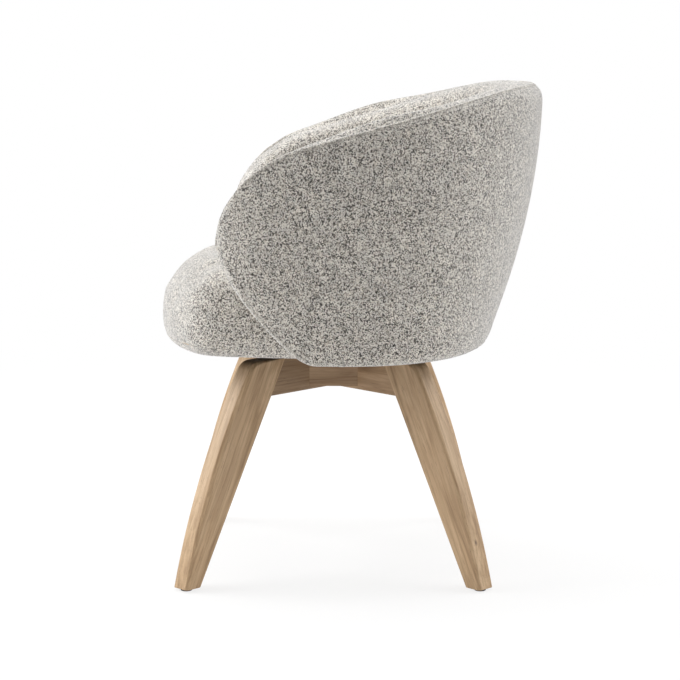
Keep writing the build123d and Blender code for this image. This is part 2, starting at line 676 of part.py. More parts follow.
with BuildPart() as cover_inner:
    for station in stations(NOSE_STEPS[0]):
        hem = hem_place(station) - CLOTH_GAP
        outer_centre, inner_centre, _, low_centre, outside = seam_places(station, 0)
        _, _, _, _, inside = seam_places(station, CLOTH)
        turn = SEAM_ANGLE + degrees(CLOTH_GAP / 2 / outside[0])
        ends = []
        with BuildSketch(station_plane(station)):
            with BuildLine():
                for radii, inset in ((outside, 0.0), (inside, CLOTH)):
                    seam, top_outer = round_corner(outer_centre, radii[0], turn, 90)
                    top_inner, _ = round_corner(inner_centre, radii[1], 90, 180)
                    crown = ((top_outer[0] + top_inner[0]) / 2, top_outer[1] + RIM_CROWN)
                    ThreePointArc(top_outer, crown, top_inner)
                    arc_on(inner_face, station, inset, low_centre[1], inner_centre[1])
                    _, tuck = round_corner(low_centre, radii[2], 180, 270)
                    Line(tuck, (hem, tuck[1]))
                    ends.append((seam, (hem, tuck[1])))
                Line(ends[0][0], ends[1][0])
                Line(ends[0][1], ends[1][1])
            make_face()
    loft()
    nose_cap(stations(NOSE_STEPS[0])[0], -1)
    nose_cap(stations(NOSE_STEPS[0])[-1], 1)
save(cover_inner, "back_cover_inner")


def frame_top(station):
    """Height of the plywood frame's upper edge, under the rim's padding."""
    high = rim_height(station.y)
    return high - min(BACK_FRAME_TOP_DROP, BACK_FRAME_TOP_SHARE * (high - low_height(station.y)))


def layer(first_step, outer_inset, inner_inset, bottom_inset):
    """Layer that follows the outer face between two insets, up to the frame's top."""
    sections = []
    for station in stations(first_step):
        sweep = (low_height(station.y) - BACK_BOTTOM) / UNDERCUT_RISE
        low = low_height(station.y) + bottom_inset + ARM_EDGE_LIFT * sweep
        high = frame_top(station)
        with BuildSketch(station_plane(station)) as section:
            with BuildLine():
                arc_on(outer_face, station, -outer_inset, low, high)
                arc_on(outer_face, station, -inner_inset, low, high)
                for z in (low, high):
                    face = outer_face(station, z)
                    Line((face - outer_inset, z), (face - inner_inset, z))
            make_face()
        sections.append(section.sketch)
    loft(sections)


screw_stations = []
for index in range(FRAME_SCREW_COUNT):
    share = 2 * index / (FRAME_SCREW_COUNT - 1) - 1
    screw_stations.append(rear_station(90 * share))
SCREW_HEIGHT = (BOARD_BASE + BOARD_TOP) / 2


def screw_plane(station, inset):
    """Plane across a frame screw, at an inset from the outer face, looking inwards."""
    out = outer_face(station, SCREW_HEIGHT) - inset
    spot = (station.x + out * station.normal_x, station.y + out * station.normal_y, SCREW_HEIGHT)
    return Plane(origin=spot, z_dir=(-station.normal_x, -station.normal_y, 0))


def screw_shanks(diameter, mode):
    """The screws' shanks, from under their sunk heads to their points."""
    for station in screw_stations:
        with BuildSketch(screw_plane(station, FRAME_OUTER_INSET + FRAME_SCREW_SINK)) as shank:
            Circle(diameter / 2)
        extrude(shank.sketch, amount=FRAME_SCREW_LENGTH, mode=mode)


with BuildPart() as back_frame:
    layer(NOSE_STEPS[4], FRAME_OUTER_INSET, FRAME_INNER_INSET, BACK_FRAME_BOTTOM_INSET)
    screw_shanks(FRAME_SCREW_DIAMETER + WOOD_CLEARANCE, Mode.SUBTRACT)
    for station in screw_stations:
        with BuildSketch(screw_plane(station, FRAME_OUTER_INSET + FRAME_SCREW_SINK)):
            Circle((FRAME_SCREW_HEAD_DIAMETER + WOOD_CLEARANCE) / 2)
        extrude(amount=-FRAME_SCREW_SINK - FRAME_SCREW_HEAD_DIAMETER, mode=Mode.SUBTRACT)
save(back_frame, "back_frame")

with BuildPart() as frame_screws:
    for station in screw_stations:
        with BuildSketch(screw_plane(station, FRAME_OUTER_INSET + FRAME_SCREW_SINK)):
            Circle(FRAME_SCREW_HEAD_DIAMETER / 2)
        extrude(amount=-FRAME_SCREW_HEAD_HEIGHT)
    screw_shanks(FRAME_SCREW_DIAMETER, Mode.ADD)
save(frame_screws, "back_frame_screws")

with BuildPart() as foam_outer:
    layer(NOSE_STEPS[2], FOAM_INSET, FRAME_OUTER_INSET + FOAM_BITE, BOTTOM_RADIUS)
    add(back_frame.part, mode=Mode.SUBTRACT)
save(foam_outer, "back_foam_outer")

with BuildPart() as foam_inner:
    for station in stations(NOSE_STEPS[2]):
        outer_centre, inner_centre, _, low_centre, radii = seam_places(station, INNER_FOAM_INSET)
        shelf = frame_top(station) + FOAM_LAYER_GAP
        inset = FRAME_INNER_INSET - FOAM_BITE
        with BuildSketch(station_plane(station)):
            with BuildLine():
                arc_on(outer_face, station, -INNER_FOAM_INSET, shelf, outer_centre[1])
                _, top_outer = round_corner(outer_centre, radii[0], 0, 90)
                top_inner, _ = round_corner(inner_centre, radii[1], 90, 180)
                crown = ((top_outer[0] + top_inner[0]) / 2, top_outer[1] + RIM_CROWN)
                ThreePointArc(top_outer, crown, top_inner)
                arc_on(inner_face, station, INNER_FOAM_INSET, low_centre[1], inner_centre[1])
                _, tuck = round_corner(low_centre, radii[2], 180, 270)
                Line(tuck, (outer_face(station, tuck[1]) - inset, tuck[1]))
                arc_on(outer_face, station, -inset, tuck[1], shelf)
                face = outer_face(station, shelf)
                Line((face - inset, shelf), (face - INNER_FOAM_INSET, shelf))
            make_face()
    loft()
    add(back_frame.part, mode=Mode.SUBTRACT)
save(foam_inner, "back_foam_inner")


# Seat: cushion sections shrink from the widest height to the crown
def tangent_corner(first, second, radius, front):
    """Centre and two touching points of a corner arc inside two circles, each given as centre and radius."""
    (x1, y1), r1 = first
    (x2, y2), r2 = second
    span = hypot(x2 - x1, y2 - y1)
    reach_1 = r1 - radius
    reach_2 = r2 - radius
    along = (reach_1**2 - reach_2**2 + span**2) / (2 * span)
    swing = acos(along / reach_1)
    heading = atan2(y2 - y1, x2 - x1)
    angle = heading - swing if front else heading + swing
    centre = (x1 + reach_1 * cos(angle), y1 + reach_1 * sin(angle))
    touches = []
    for (x, y), r in (first, second):
        share = r / (r - radius)
        touches.append((x + share * (centre[0] - x), y + share * (centre[1] - y)))
    return centre, touches


SIDE_CIRCLE = ((BACK_RADIUS - ARM_RADIUS, BACK_CENTRE_Y), ARM_RADIUS - ARM_PADDING - SEAT_SIDE_GAP)
FRONT_CIRCLE = ((0.0, FRONT_Y + SEAT_FRONT_RADIUS), SEAT_FRONT_RADIUS)
REAR_CIRCLE = ((0.0, SEAT_REAR - SEAT_REAR_RADIUS), SEAT_REAR_RADIUS)
FRONT_CORNER, (FRONT_SIDE_TOUCH, FRONT_TOUCH) = tangent_corner(SIDE_CIRCLE, FRONT_CIRCLE, SEAT_FRONT_CORNER, True)
REAR_CORNER, (REAR_SIDE_TOUCH, REAR_TOUCH) = tangent_corner(SIDE_CIRCLE, REAR_CIRCLE, SEAT_REAR_CORNER, False)


def seat_outline(share):
    """Plan of the seat, scaled about its middle: front, sides and rear arcs with rounded corners."""

    def place(x, y):
        return (x * share, (y - SEAT_MIDDLE_Y) * share)

    def draw(start, end, centre, radius, side):
        middle_x = (start[0] + end[0]) / 2 - centre[0]
        middle_y = (start[1] + end[1]) / 2 - centre[1]
        grow = radius / hypot(middle_x, middle_y)
        middle = (centre[0] + grow * middle_x, centre[1] + grow * middle_y)
        ThreePointArc(*[place(side * x, y) for x, y in (start, middle, end)])

    mirrored_front = (-FRONT_TOUCH[0], FRONT_TOUCH[1])
    mirrored_rear = (-REAR_TOUCH[0], REAR_TOUCH[1])
    draw(mirrored_front, FRONT_TOUCH, *FRONT_CIRCLE, 1)
    draw(FRONT_TOUCH, FRONT_SIDE_TOUCH, FRONT_CORNER, SEAT_FRONT_CORNER, 1)
    draw(FRONT_SIDE_TOUCH, REAR_SIDE_TOUCH, *SIDE_CIRCLE, 1)
    draw(REAR_SIDE_TOUCH, REAR_TOUCH, REAR_CORNER, SEAT_REAR_CORNER, 1)
    draw(REAR_TOUCH, mirrored_rear, *REAR_CIRCLE, 1)
    draw(REAR_TOUCH, REAR_SIDE_TOUCH, REAR_CORNER, SEAT_REAR_CORNER, -1)
    draw(REAR_SIDE_TOUCH, FRONT_SIDE_TOUCH, *SIDE_CIRCLE, -1)
    draw(FRONT_SIDE_TOUCH, FRONT_TOUCH, FRONT_CORNER, SEAT_FRONT_CORNER, -1)


def seat_plane(height):
    """Level plane at the seat's middle."""
    return Plane(origin=(0, SEAT_MIDDLE_Y, height))


UNDERSIDE_STEPS = (0.0, 0.25, 0.5, 0.75)
CROWN_STEPS = (0.0, 0.08, 0.22, 0.42, 0.6, 0.74, 0.85, 0.93, 0.985)


def underside_share(height):
    """Share of the plan below the widest height, where the sides round in to the board."""
    drop = (SEAT_WIDEST - height) / (SEAT_WIDEST - BOARD_BASE)
    return 1 - SEAT_UNDERSIDE_TUCK / SEAT_HALF_WIDTH * drop**2


def board_share(height):
    """Share of the plan at the board's edge, under the cloth."""
    return underside_share(height) - FOAM_INSET / SEAT_HALF_WIDTH


def cushion(inset, mode):
    """Crowned cushion, inset from the cloth's outside, from the board's underside up."""
    inner_share = 1 - inset / SEAT_HALF_WIDTH
    levels = []
    for step in UNDERSIDE_STEPS:
        height = BOARD_BASE + step * (SEAT_WIDEST - BOARD_BASE)
        levels.append((height, underside_share(height)))
    for step in CROWN_STEPS:
        share = (1 - step**SEAT_CROWN_POWER) ** (1 / SEAT_SIDE_POWER)
        levels.append((SEAT_WIDEST + step * (SEAT_CROWN - inset - SEAT_WIDEST), share))
    sections = []
    for height, share in levels:
        with BuildSketch(seat_plane(height)) as section:
            with BuildLine():
                seat_outline(share * inner_share)
            make_face()
        sections.append(section.sketch)
    loft(sections, mode=mode)


def bevelled_board():
    """Front part of the board, with an edge bevelled to follow the cushion's rounded underside."""
    sections = []
    for height in (BOARD_BASE, BOARD_TOP):
        with BuildSketch(seat_plane(height)) as section:
            with BuildLine():
                seat_outline(board_share(height))
            make_face()
        sections.append(section.sketch)
    loft(sections, ruled=True)


WING_END = UNDERCUT_LENGTH + WING_FRONT_MARGIN
WING_STATIONS = [arm_station(WING_END, -1)]
WING_STATIONS += [rear_station(-step) for step in REAR_STEPS]
WING_STATIONS += [rear_station(0)]
WING_STATIONS += [rear_station(step) for step in reversed(REAR_STEPS)]
WING_STATIONS += [arm_station(WING_END, 1)]


def wings(inset, base, height, mode):
    """Rear part of the board, out to an inset from the back's outer face."""
    points = []
    for station in WING_STATIONS:
        out = outer_face(station, BOARD_BASE) - inset
        points.append((station.x + out * station.normal_x, station.y + out * station.normal_y))
    with BuildSketch(Plane.XY.offset(base)) as outline:
        with BuildLine():
            Spline(*points)
            Line(points[-1], points[0])
        make_face()
    extrude(outline.sketch, amount=height, mode=mode)


with BuildPart() as seat_board:
    wings(FRAME_INNER_INSET + BOARD_EDGE_GAP, BOARD_BASE, BOARD_THICKNESS, Mode.ADD)
    bevelled_board()
    with BuildSketch(level_plane(BOARD_BASE)):
        Circle(BOARD_HOLE_DIAMETER / 2)
        with GridLocations(PLATE_BOLT_PITCH, PLATE_BOLT_PITCH, 2, 2):
            Circle(T_NUT_BARREL / 2 + THREAD_CLEARANCE)
    extrude(amount=BOARD_THICKNESS, mode=Mode.SUBTRACT)
    with BuildSketch(level_plane(BOARD_TOP)):
        with GridLocations(PLATE_BOLT_PITCH, PLATE_BOLT_PITCH, 2, 2):
            Circle(T_NUT_FLANGE / 2 + THREAD_CLEARANCE)
    extrude(amount=-T_NUT_FLANGE_THICKNESS, mode=Mode.SUBTRACT)
    screw_shanks(FRAME_SCREW_DIAMETER + WOOD_CLEARANCE, Mode.SUBTRACT)
save(seat_board, "seat_board")

DUST_COVER_BASE = BOARD_BASE - DUST_COVER_THICKNESS
DUST_COVER_HOLE = PLATE_SIZE + 2 * DUST_COVER_PLATE_GAP
with BuildPart() as dust_cover:
    wings(FRAME_INNER_INSET + DUST_COVER_MARGIN, DUST_COVER_BASE, DUST_COVER_THICKNESS, Mode.ADD)
    with BuildSketch(seat_plane(DUST_COVER_BASE)):
        with BuildLine():
            seat_outline(board_share(BOARD_BASE) - DUST_COVER_MARGIN / SEAT_HALF_WIDTH)
        make_face()
    extrude(amount=DUST_COVER_THICKNESS)
    with BuildSketch(level_plane(DUST_COVER_BASE)):
        Rectangle(DUST_COVER_HOLE, DUST_COVER_HOLE)
    extrude(amount=DUST_COVER_THICKNESS, mode=Mode.SUBTRACT)
save(dust_cover, "dust_cover")

with BuildPart() as seat_cover:
    cushion(0.0, Mode.ADD)
    cushion(CLOTH, Mode.SUBTRACT)
    wings(FRAME_OUTER_INSET, BOARD_BASE, BOARD_THICKNESS + CLOTH_GAP, Mode.SUBTRACT)
save(seat_cover, "seat_cover")

FOAM_SPLIT = BOARD_TOP + FIRM_FOAM_HEIGHT
with BuildPart() as firm_foam:
    cushion(FOAM_INSET, Mode.ADD)
    split(bisect_by=Plane.XY.offset(BOARD_TOP), keep=Keep.TOP)
    split(bisect_by=Plane.XY.offset(FOAM_SPLIT), keep=Keep.BOTTOM)
save(firm_foam, "seat_foam_firm")

with BuildPart() as soft_foam:
    cushion(FOAM_INSET, Mode.ADD)
    split(bisect_by=Plane.XY.offset(FOAM_SPLIT + FOAM_LAYER_GAP), keep=Keep.TOP)
save(soft_foam, "seat_foam_soft")
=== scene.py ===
# %% [markdown]
# # A swivel armchair: cloth, oak and a hidden bearing
# The exact solids of the chair are already packed as a frame: four oak legs, a ball-bearing swivel and a
# seat with a back that wraps round into two arms. This lesson keeps the solids that are right as they
# are, gives them real finishes, and models again what only Blender can make look soft. All sizes are in
# metres, the chair faces -Y and the floor is Z = 0.

import math

import bpy
import numpy as np
from mathutils import Matrix, Vector


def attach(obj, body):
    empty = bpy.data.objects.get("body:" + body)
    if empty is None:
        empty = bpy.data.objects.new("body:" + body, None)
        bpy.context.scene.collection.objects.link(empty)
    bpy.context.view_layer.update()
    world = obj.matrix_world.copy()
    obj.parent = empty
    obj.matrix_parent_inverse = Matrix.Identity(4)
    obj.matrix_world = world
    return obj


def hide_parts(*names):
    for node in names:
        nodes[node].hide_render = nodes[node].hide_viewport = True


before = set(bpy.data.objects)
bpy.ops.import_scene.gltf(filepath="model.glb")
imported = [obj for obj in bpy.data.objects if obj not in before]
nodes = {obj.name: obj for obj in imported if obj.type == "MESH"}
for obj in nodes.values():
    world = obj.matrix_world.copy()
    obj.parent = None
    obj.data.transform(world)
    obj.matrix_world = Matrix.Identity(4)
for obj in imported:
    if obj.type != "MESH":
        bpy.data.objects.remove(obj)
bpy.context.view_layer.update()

# %% [markdown]
# ## Camera
# The chair was seen side-on from a little above, with a long lens. A camera can be aimed by eye, but here
# its place was solved from the near and far legs, so it is set by numbers: distance, height, pitch and
# lens.

# %% Set the camera
CAMERA_DISTANCE = 3.300
CAMERA_HEIGHT = 0.885
CAMERA_ASIDE = -0.0185
CAMERA_PITCH = 9.10
IMAGE_SIDE = 680
FOCAL_PIXELS = 2044
SENSOR = 36.0

scene = bpy.context.scene
lens = bpy.data.cameras.new("side_camera")
lens.sensor_width = SENSOR
lens.lens = SENSOR * FOCAL_PIXELS / IMAGE_SIDE
camera = bpy.data.objects.new("side_camera", lens)
scene.collection.objects.link(camera)
camera.location = (CAMERA_DISTANCE, CAMERA_ASIDE, CAMERA_HEIGHT)
camera.rotation_euler = (math.radians(90 - CAMERA_PITCH), 0, math.radians(90))
scene.camera = camera
scene.view_settings.view_transform = "Standard"
print("camera lens:", round(lens.lens, 1), "mm")

# %% [markdown]
# ## Small helpers
# Operators act on whatever is selected, so each step starts with nothing selected and one active object.
# A material is a list of nodes and links, so a few short functions keep the recipes readable.


# %% Helpers for objects and nodes
def only(piece):
    """Select one object alone and make it active."""
    if bpy.context.object and bpy.context.object.mode != "OBJECT":
        bpy.ops.object.mode_set(mode="OBJECT")
    bpy.ops.object.select_all(action="DESELECT")
    piece.select_set(True)
    bpy.context.view_layer.objects.active = piece


def places(piece):
    """The points of a mesh as an array with a row for each point."""
    flat = np.empty(len(piece.data.vertices) * 3, np.float32)
    piece.data.vertices.foreach_get("co", flat)
    return flat.reshape(-1, 3).astype(float)


def put(piece, points):
    """Move the points of a mesh to the rows of an array."""
    piece.data.vertices.foreach_set("co", np.asarray(points, np.float32).ravel())
    piece.data.update()


def placed(name, data):
    """A new object in the scene."""
    piece = bpy.data.objects.new(name, data)
    scene.collection.objects.link(piece)
    return piece


def new_finish(name):
    """An empty node material with its principled shader."""
    finish = bpy.data.materials.new(name)
    finish.use_nodes = True
    return finish, finish.node_tree.nodes["Principled BSDF"]


def add_node(finish, kind, inputs=None, **settings):
    """Add a node, set its properties and sockets, and give its inputs a link or a plain value."""
    node = finish.node_tree.nodes.new(kind)
    for key, value in settings.items():
        if hasattr(node, key):
            setattr(node, key, value)
        else:
            node.inputs[key.replace("_", " ")].default_value = value
    for socket, source in (inputs or {}).items():
        if isinstance(source, bpy.types.NodeSocket):
            finish.node_tree.links.new(source, node.inputs[socket])
        else:
            node.inputs[socket].default_value = source
    return node


def calculate(finish, how, *inputs, kind="ShaderNodeVectorMath"):
    """The outputs of a node that adds, multiplies or measures links and plain values."""
    return add_node(finish, kind, dict(enumerate(inputs)), operation=how).outputs


def ramp(finish, factor, stops):
    """A colour ramp over a factor, with stops of place and colour."""
    node = add_node(finish, "ShaderNodeValToRGB", {"Fac": factor})
    steps = node.color_ramp.elements
    while len(steps) < len(stops):
        steps.new(0.5)
    for step, (place, colour) in zip(steps, stops):
        step.position = place
        step.color = (*colour, 1)
    return node.outputs["Color"]


def mix(finish, factor, first, second, how="MIX"):
    """Mix two colours. The factor may be a number or another node's output."""
    node = add_node(finish, "ShaderNodeMix", data_type="RGBA", blend_type=how)
    for socket, value in ((node.inputs[0], factor), (node.inputs[6], first), (node.inputs[7], second)):
        if isinstance(value, bpy.types.NodeSocket):
            finish.node_tree.links.new(value, socket)
        elif isinstance(value, tuple):
            socket.default_value = (*value, 1)
        else:
            socket.default_value = value
    return node.outputs[2]


def ranged(finish, factor, low, high):
    """Stretch a factor so that it runs from low to high."""
    node = add_node(finish, "ShaderNodeMapRange", {"Value": factor}, To_Min=low, To_Max=high)
    return node.outputs["Result"]


def link(finish, source, shader, socket):
    """Link an output to a socket of the shader."""
    finish.node_tree.links.new(source, shader.inputs[socket])


def set_sockets(shader, **values):
    """Set plain values on sockets of the shader."""
    for key, value in values.items():
        shader.inputs[key.replace("_", " ")].default_value = value


def dress(finish, *names):
    """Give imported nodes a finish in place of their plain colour."""
    for name in names:
        nodes[name].data.materials.clear()
        nodes[name].data.materials.append(finish)


def finish_piece(piece, finish, body):
    """Give a new piece its finish and slot and let it ride on a body."""
    piece.data.materials.clear()
    piece.data.materials.append(finish)
    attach(piece, body)


print("helpers ready")

# %% [markdown]
# ## Light and floor
# The light is a bright white studio: a wide soft lamp overhead and one on either side, so that the edges
# of the chair glow and the face towards the camera stays a little darker. The floor and the world show
# white to the camera through the light path, which leaves the light on the chair alone.

# %% Light the studio
WHITE = (1.0, 1.0, 1.0)
WORLD_LIGHT = 0.365
# Place, aim, side and watts of each lamp
LAMPS = {
    "overhead_lamp": ((-0.75, -0.1, 2.7), (0, 0, 0.4), 2.6, 55.0),
    "front_lamp": ((-0.20, -2.5, 1.8), (0, 0, 0.40), 2.0, 70.0),
    "rear_lamp": ((-0.20, 2.6, 1.75), (0, 0, 0.50), 2.0, 42.0),
}
for name, (spot, aim, size, power) in LAMPS.items():
    lamp = bpy.data.lights.new(name, "AREA")
    lamp.shape = "SQUARE"
    lamp.size = size
    lamp.energy = power
    holder = placed(name, lamp)
    holder.location = spot
    holder.rotation_euler = (Vector(aim) - Vector(spot)).to_track_quat("-Z", "Y").to_euler()

world = bpy.data.worlds.new("studio")
scene.world = world
world.use_nodes = True
wall = world.node_tree.nodes["Background"]
wall.inputs["Color"].default_value = (*WHITE, 1)


def seen_directly(finish):
    """One for rays that show the surroundings as such: camera, glossy and transmission rays."""
    path = add_node(finish, "ShaderNodeLightPath")
    total = path.outputs["Is Camera Ray"]
    for kind in ("Is Glossy Ray", "Is Transmission Ray"):
        total = calculate(finish, "MAXIMUM", total, path.outputs[kind], kind="ShaderNodeMath")[0]
    return total


link(world, ranged(world, seen_directly(world), WORLD_LIGHT, 1.0), wall, "Strength")

FLOOR_SIZE = 400.0
FLOOR_GREY = 0.96
FLOOR_ROUGHNESS = 0.9
FLOOR_GLOW = 0.80
SHADOW_REACH = 0.5
WHITE_REACH = 2.2
bpy.ops.object.select_all(action="DESELECT")
bpy.ops.mesh.primitive_plane_add(size=FLOOR_SIZE)
floor = bpy.context.object
floor.name = "studio_floor"
floor_finish, floor_shader = new_finish("pale_floor")
set_sockets(floor_shader, Base_Color=(FLOOR_GREY, FLOOR_GREY, FLOOR_GREY, 1), Roughness=FLOOR_ROUGHNESS,
            Specular_IOR_Level=0.0)
floor_place = add_node(floor_finish, "ShaderNodeTexCoord").outputs["Object"]
away = calculate(floor_finish, "LENGTH", floor_place)["Value"]
melt = add_node(floor_finish, "ShaderNodeMapRange", {"Value": away}, interpolation_type="SMOOTHSTEP",
                From_Min=SHADOW_REACH, From_Max=WHITE_REACH, To_Min=FLOOR_GLOW, To_Max=1.0)
white_share = calculate(floor_finish, "MULTIPLY", seen_directly(floor_finish), melt.outputs["Result"],
                        kind="ShaderNodeMath")[0]
glow = add_node(floor_finish, "ShaderNodeEmission")
blend_in = add_node(floor_finish, "ShaderNodeMixShader", {
    0: white_share, 1: floor_shader.outputs[0], 2: glow.outputs[0]})
link(floor_finish, blend_in.outputs[0], floor_finish.node_tree.nodes["Material Output"], "Surface")
floor.data.materials.append(floor_finish)
print("lamps:", len(LAMPS))

# %% [markdown]
# ## Oak
# The legs are matt oiled oak. Oak shows long fibres, wider bands where growth rings run out of the board,
# and short dark pores. Each is a noise that is stretched along the plank. A leg stands askew in space, so
# its pattern reads an attribute that holds every point's place along, across and through its own plank.
# The beams lie level, so for them a Mapping node that turns the object's coordinates is enough. The beams
# and blocks under the seat are darkened by a factor of painted shade for the seat's shadow.

# %% Mix the oak finish
OAK_LIGHT = (0.655, 0.475, 0.300)
OAK_MIDDLE = (0.545, 0.376, 0.222)
OAK_DARK = (0.355, 0.226, 0.120)
OAK_PORE = (0.250, 0.158, 0.088)
OAK_FIBRE = (0.70, 0.66, 0.61)
OAK_BLOTCHES = ((0.88, 0.86, 0.84), (1.06, 1.05, 1.03))
# Tint of the painted shade that darkens the oak lying in the seat's shadow
OAK_PAINTED_SHADE_TINT = (1.0, 0.94, 0.90)
OAK_ROUGHNESS = (0.42, 0.60)
OAK_RELIEF_STRENGTH = 0.22
OAK_RELIEF_DEPTH = 0.0006
# Scale along and across the grain, detail and distortion of each noise
FIGURE_NOISE = (5.0, 46.0, 4.0, 0.9)
FIBRE_NOISE = (7.0, 260.0, 6.0, 0.3)
PORE_NOISE = (38.0, 1150.0, 2.0, 0.0)
BLOTCH_NOISE = (3.0, 12.0, 2.0, 0.4)
GLOSS_NOISE = (9.0, 300.0, 3.0, 0.0)
RELIEF_NOISE = (14.0, 700.0, 4.0, 0.0)
BLACK = (0.0, 0.0, 0.0)
KNOT_COLOUR = (0.085, 0.046, 0.025)
KNOT_RADIUS = 0.0034
KNOT_CORE = 0.4
KNOT_STRETCH = 0.62


def oak(name, turn=None, painted_shade=1.0, knot=None):
    """Oak with the grain along x, of the object turned by an angle or of the plank attribute, darkened by a
    factor of painted shade.
    """
    finish, shader = new_finish(name)
    if turn is None:
        grain = add_node(finish, "ShaderNodeAttribute", attribute_name="plank").outputs["Vector"]
    else:
        object_place = add_node(finish, "ShaderNodeTexCoord").outputs["Object"]
        grain = add_node(finish, "ShaderNodeMapping", {"Vector": object_place},
                         Rotation=(0, 0, -math.radians(turn))).outputs["Vector"]

    def stretched(along, across, detail, distortion):
        """A noise drawn out along the grain."""
        spread = add_node(finish, "ShaderNodeMapping", {"Vector": grain}, Scale=(along, across, across))
        return add_node(finish, "ShaderNodeTexNoise", {"Vector": spread.outputs["Vector"]}, Scale=1.0,
                        Detail=detail, Roughness=0.6, Distortion=distortion).outputs["Fac"]

    figure = ramp(finish, stretched(*FIGURE_NOISE),
                  [(0.30, OAK_DARK), (0.45, OAK_MIDDLE), (0.62, OAK_LIGHT), (0.74, OAK_MIDDLE)])
    fibres = ramp(finish, stretched(*FIBRE_NOISE), [(0.32, OAK_FIBRE), (0.62, WHITE)])
    pores = ramp(finish, stretched(*PORE_NOISE), [(0.62, BLACK), (0.72, WHITE)])
    colour = mix(finish, 1.0, figure, fibres, "MULTIPLY")
    colour = mix(finish, pores, colour, OAK_PORE)
    blotches = ramp(finish, stretched(*BLOTCH_NOISE), [(0.30, OAK_BLOTCHES[0]), (0.70, OAK_BLOTCHES[1])])
    colour = mix(finish, 1.0, colour, blotches, "MULTIPLY")
    if knot is not None:
        squeezed = calculate(finish, "MULTIPLY", grain, (KNOT_STRETCH, 1, 1))["Vector"]
        middle = (knot[0] * KNOT_STRETCH, knot[1], knot[2])
        apart = calculate(finish, "DISTANCE", squeezed, middle)["Value"]
        near = ramp(finish, apart, [(KNOT_RADIUS * KNOT_CORE, WHITE), (KNOT_RADIUS, BLACK)])
        colour = mix(finish, near, colour, KNOT_COLOUR)
    # Painted shade: the colour is darkened for the seat's shadow on this piece
    if painted_shade != 1.0:
        colour = mix(finish, 1.0, colour, tuple(painted_shade * part for part in OAK_PAINTED_SHADE_TINT), "MULTIPLY")
    link(finish, colour, shader, "Base Color")
    link(finish, ranged(finish, stretched(*GLOSS_NOISE), *OAK_ROUGHNESS), shader, "Roughness")
    relief = add_node(finish, "ShaderNodeBump", {"Height": stretched(*RELIEF_NOISE)},
                      Strength=OAK_RELIEF_STRENGTH, Distance=OAK_RELIEF_DEPTH)
    link(finish, relief.outputs["Normal"], shader, "Normal")
    return finish


# Beams, blocks and dowels get painted shade for the seat's shadow above them, the upper beam the darkest
dress(oak("oak_lower_beam_painted_shade", turn=45, painted_shade=0.80), "cross_beam_lower")
dress(oak("oak_upper_beam_painted_shade", turn=135, painted_shade=0.58), "cross_beam_upper")
dress(oak("oak_side_blocks_painted_shade", turn=90, painted_shade=0.72), "corner_block_left", "corner_block_right")
dress(oak("oak_end_blocks_painted_shade", turn=0, painted_shade=0.72), "corner_block_front", "corner_block_rear", "leg_dowels")
print("oak on the beams and blocks")

# %% [markdown]
# ## Legs
# A leg is a plank that stands on a diagonal: narrow at the foot, wide at the top, with an outer edge that
# bows and turns in an elbow at the top. The solid has these lines, but its edges are sharp. The leg is
# modelled again from a strip of quads whose two sides follow the inner and outer line. Extrude gives the
# strip its thickness, an edit-mode bevel cuts the chamfers of the outer edge, and a Bevel modifier
# softens the edges that are left, as sandpaper does. One leg is made, then turned to the four corners.

# %% Model one leg and turn it to four corners
SWIVEL_Y = -0.029
LEG_TOP = 0.344
GLIDE_HEIGHT = 0.004
LEG_THICKNESS = 0.034
FOOT_REACH = 0.3365
FOOT_WIDTH = 0.0285
LEG_TOP_REACH = 0.193
LEG_TOP_WIDTH = 0.069
LEG_BOW = 0.014
ELBOW_RADIUS = 0.024
LEG_CHAMFER = 0.0045
SOFT_EDGE = 0.0014
SOFT_ANGLE = 25
BOW_STEPS = 16
ELBOW_STEPS = 8
LEG_ANGLES = {"rear_left": 45, "rear_right": 135, "front_right": 225, "front_left": 315}
SPOT_DIGITS = 5
PLANK_OFFSET = 1.7
KNOT_PLACE = (0.0666, 0.0254, -0.004)


def leg_outer_line():
    """Outer line of a leg in reach and height: a bowed arc, then the elbow's arc."""
    foot = np.array([FOOT_REACH, GLIDE_HEIGHT])
    top = np.array([LEG_TOP_REACH, LEG_TOP])
    chord = np.linalg.norm(top - foot)
    outward = np.array([(top - foot)[1], -(top - foot)[0]]) / chord
    radius = (chord**2 / 4 + LEG_BOW**2) / (2 * LEG_BOW)
    centre = (foot + top) / 2 - outward * (radius - LEG_BOW)
    elbow_height = LEG_TOP - ELBOW_RADIUS
    elbow = np.array([centre[0] + math.sqrt((radius - ELBOW_RADIUS) ** 2 - (elbow_height - centre[1]) ** 2),
                      elbow_height])
    start = math.atan2(*(foot - centre)[::-1])
    end = math.atan2(*(elbow - centre)[::-1])
    bow = np.linspace(start, end, BOW_STEPS)
    bend = np.linspace(end, math.pi / 2, ELBOW_STEPS + 1)[1:]
    return np.concatenate([centre + radius * np.column_stack([np.cos(bow), np.sin(bow)]),
                           elbow + ELBOW_RADIUS * np.column_stack([np.cos(bend), np.sin(bend)])])


outer_line = leg_outer_line()
steps = len(outer_line)
inner_foot = np.array([FOOT_REACH - FOOT_WIDTH, GLIDE_HEIGHT])
inner_top = np.array([LEG_TOP_REACH - LEG_TOP_WIDTH, LEG_TOP])
inner_line = np.array([inner_foot + (inner_top - inner_foot) * share for share in np.linspace(0, 1, steps)])

bpy.ops.object.select_all(action="DESELECT")
bpy.ops.mesh.primitive_grid_add(x_subdivisions=1, y_subdivisions=steps - 1, size=2)
leg = bpy.context.object
strip = places(leg)
rows = np.rint((strip[:, 1] + 1) / 2 * (steps - 1)).astype(int)
line = np.where(strip[:, :1] < 0, inner_line[rows], outer_line[rows])
put(leg, np.column_stack([line[:, 0], np.full(len(line), -LEG_THICKNESS / 2), line[:, 1]]))

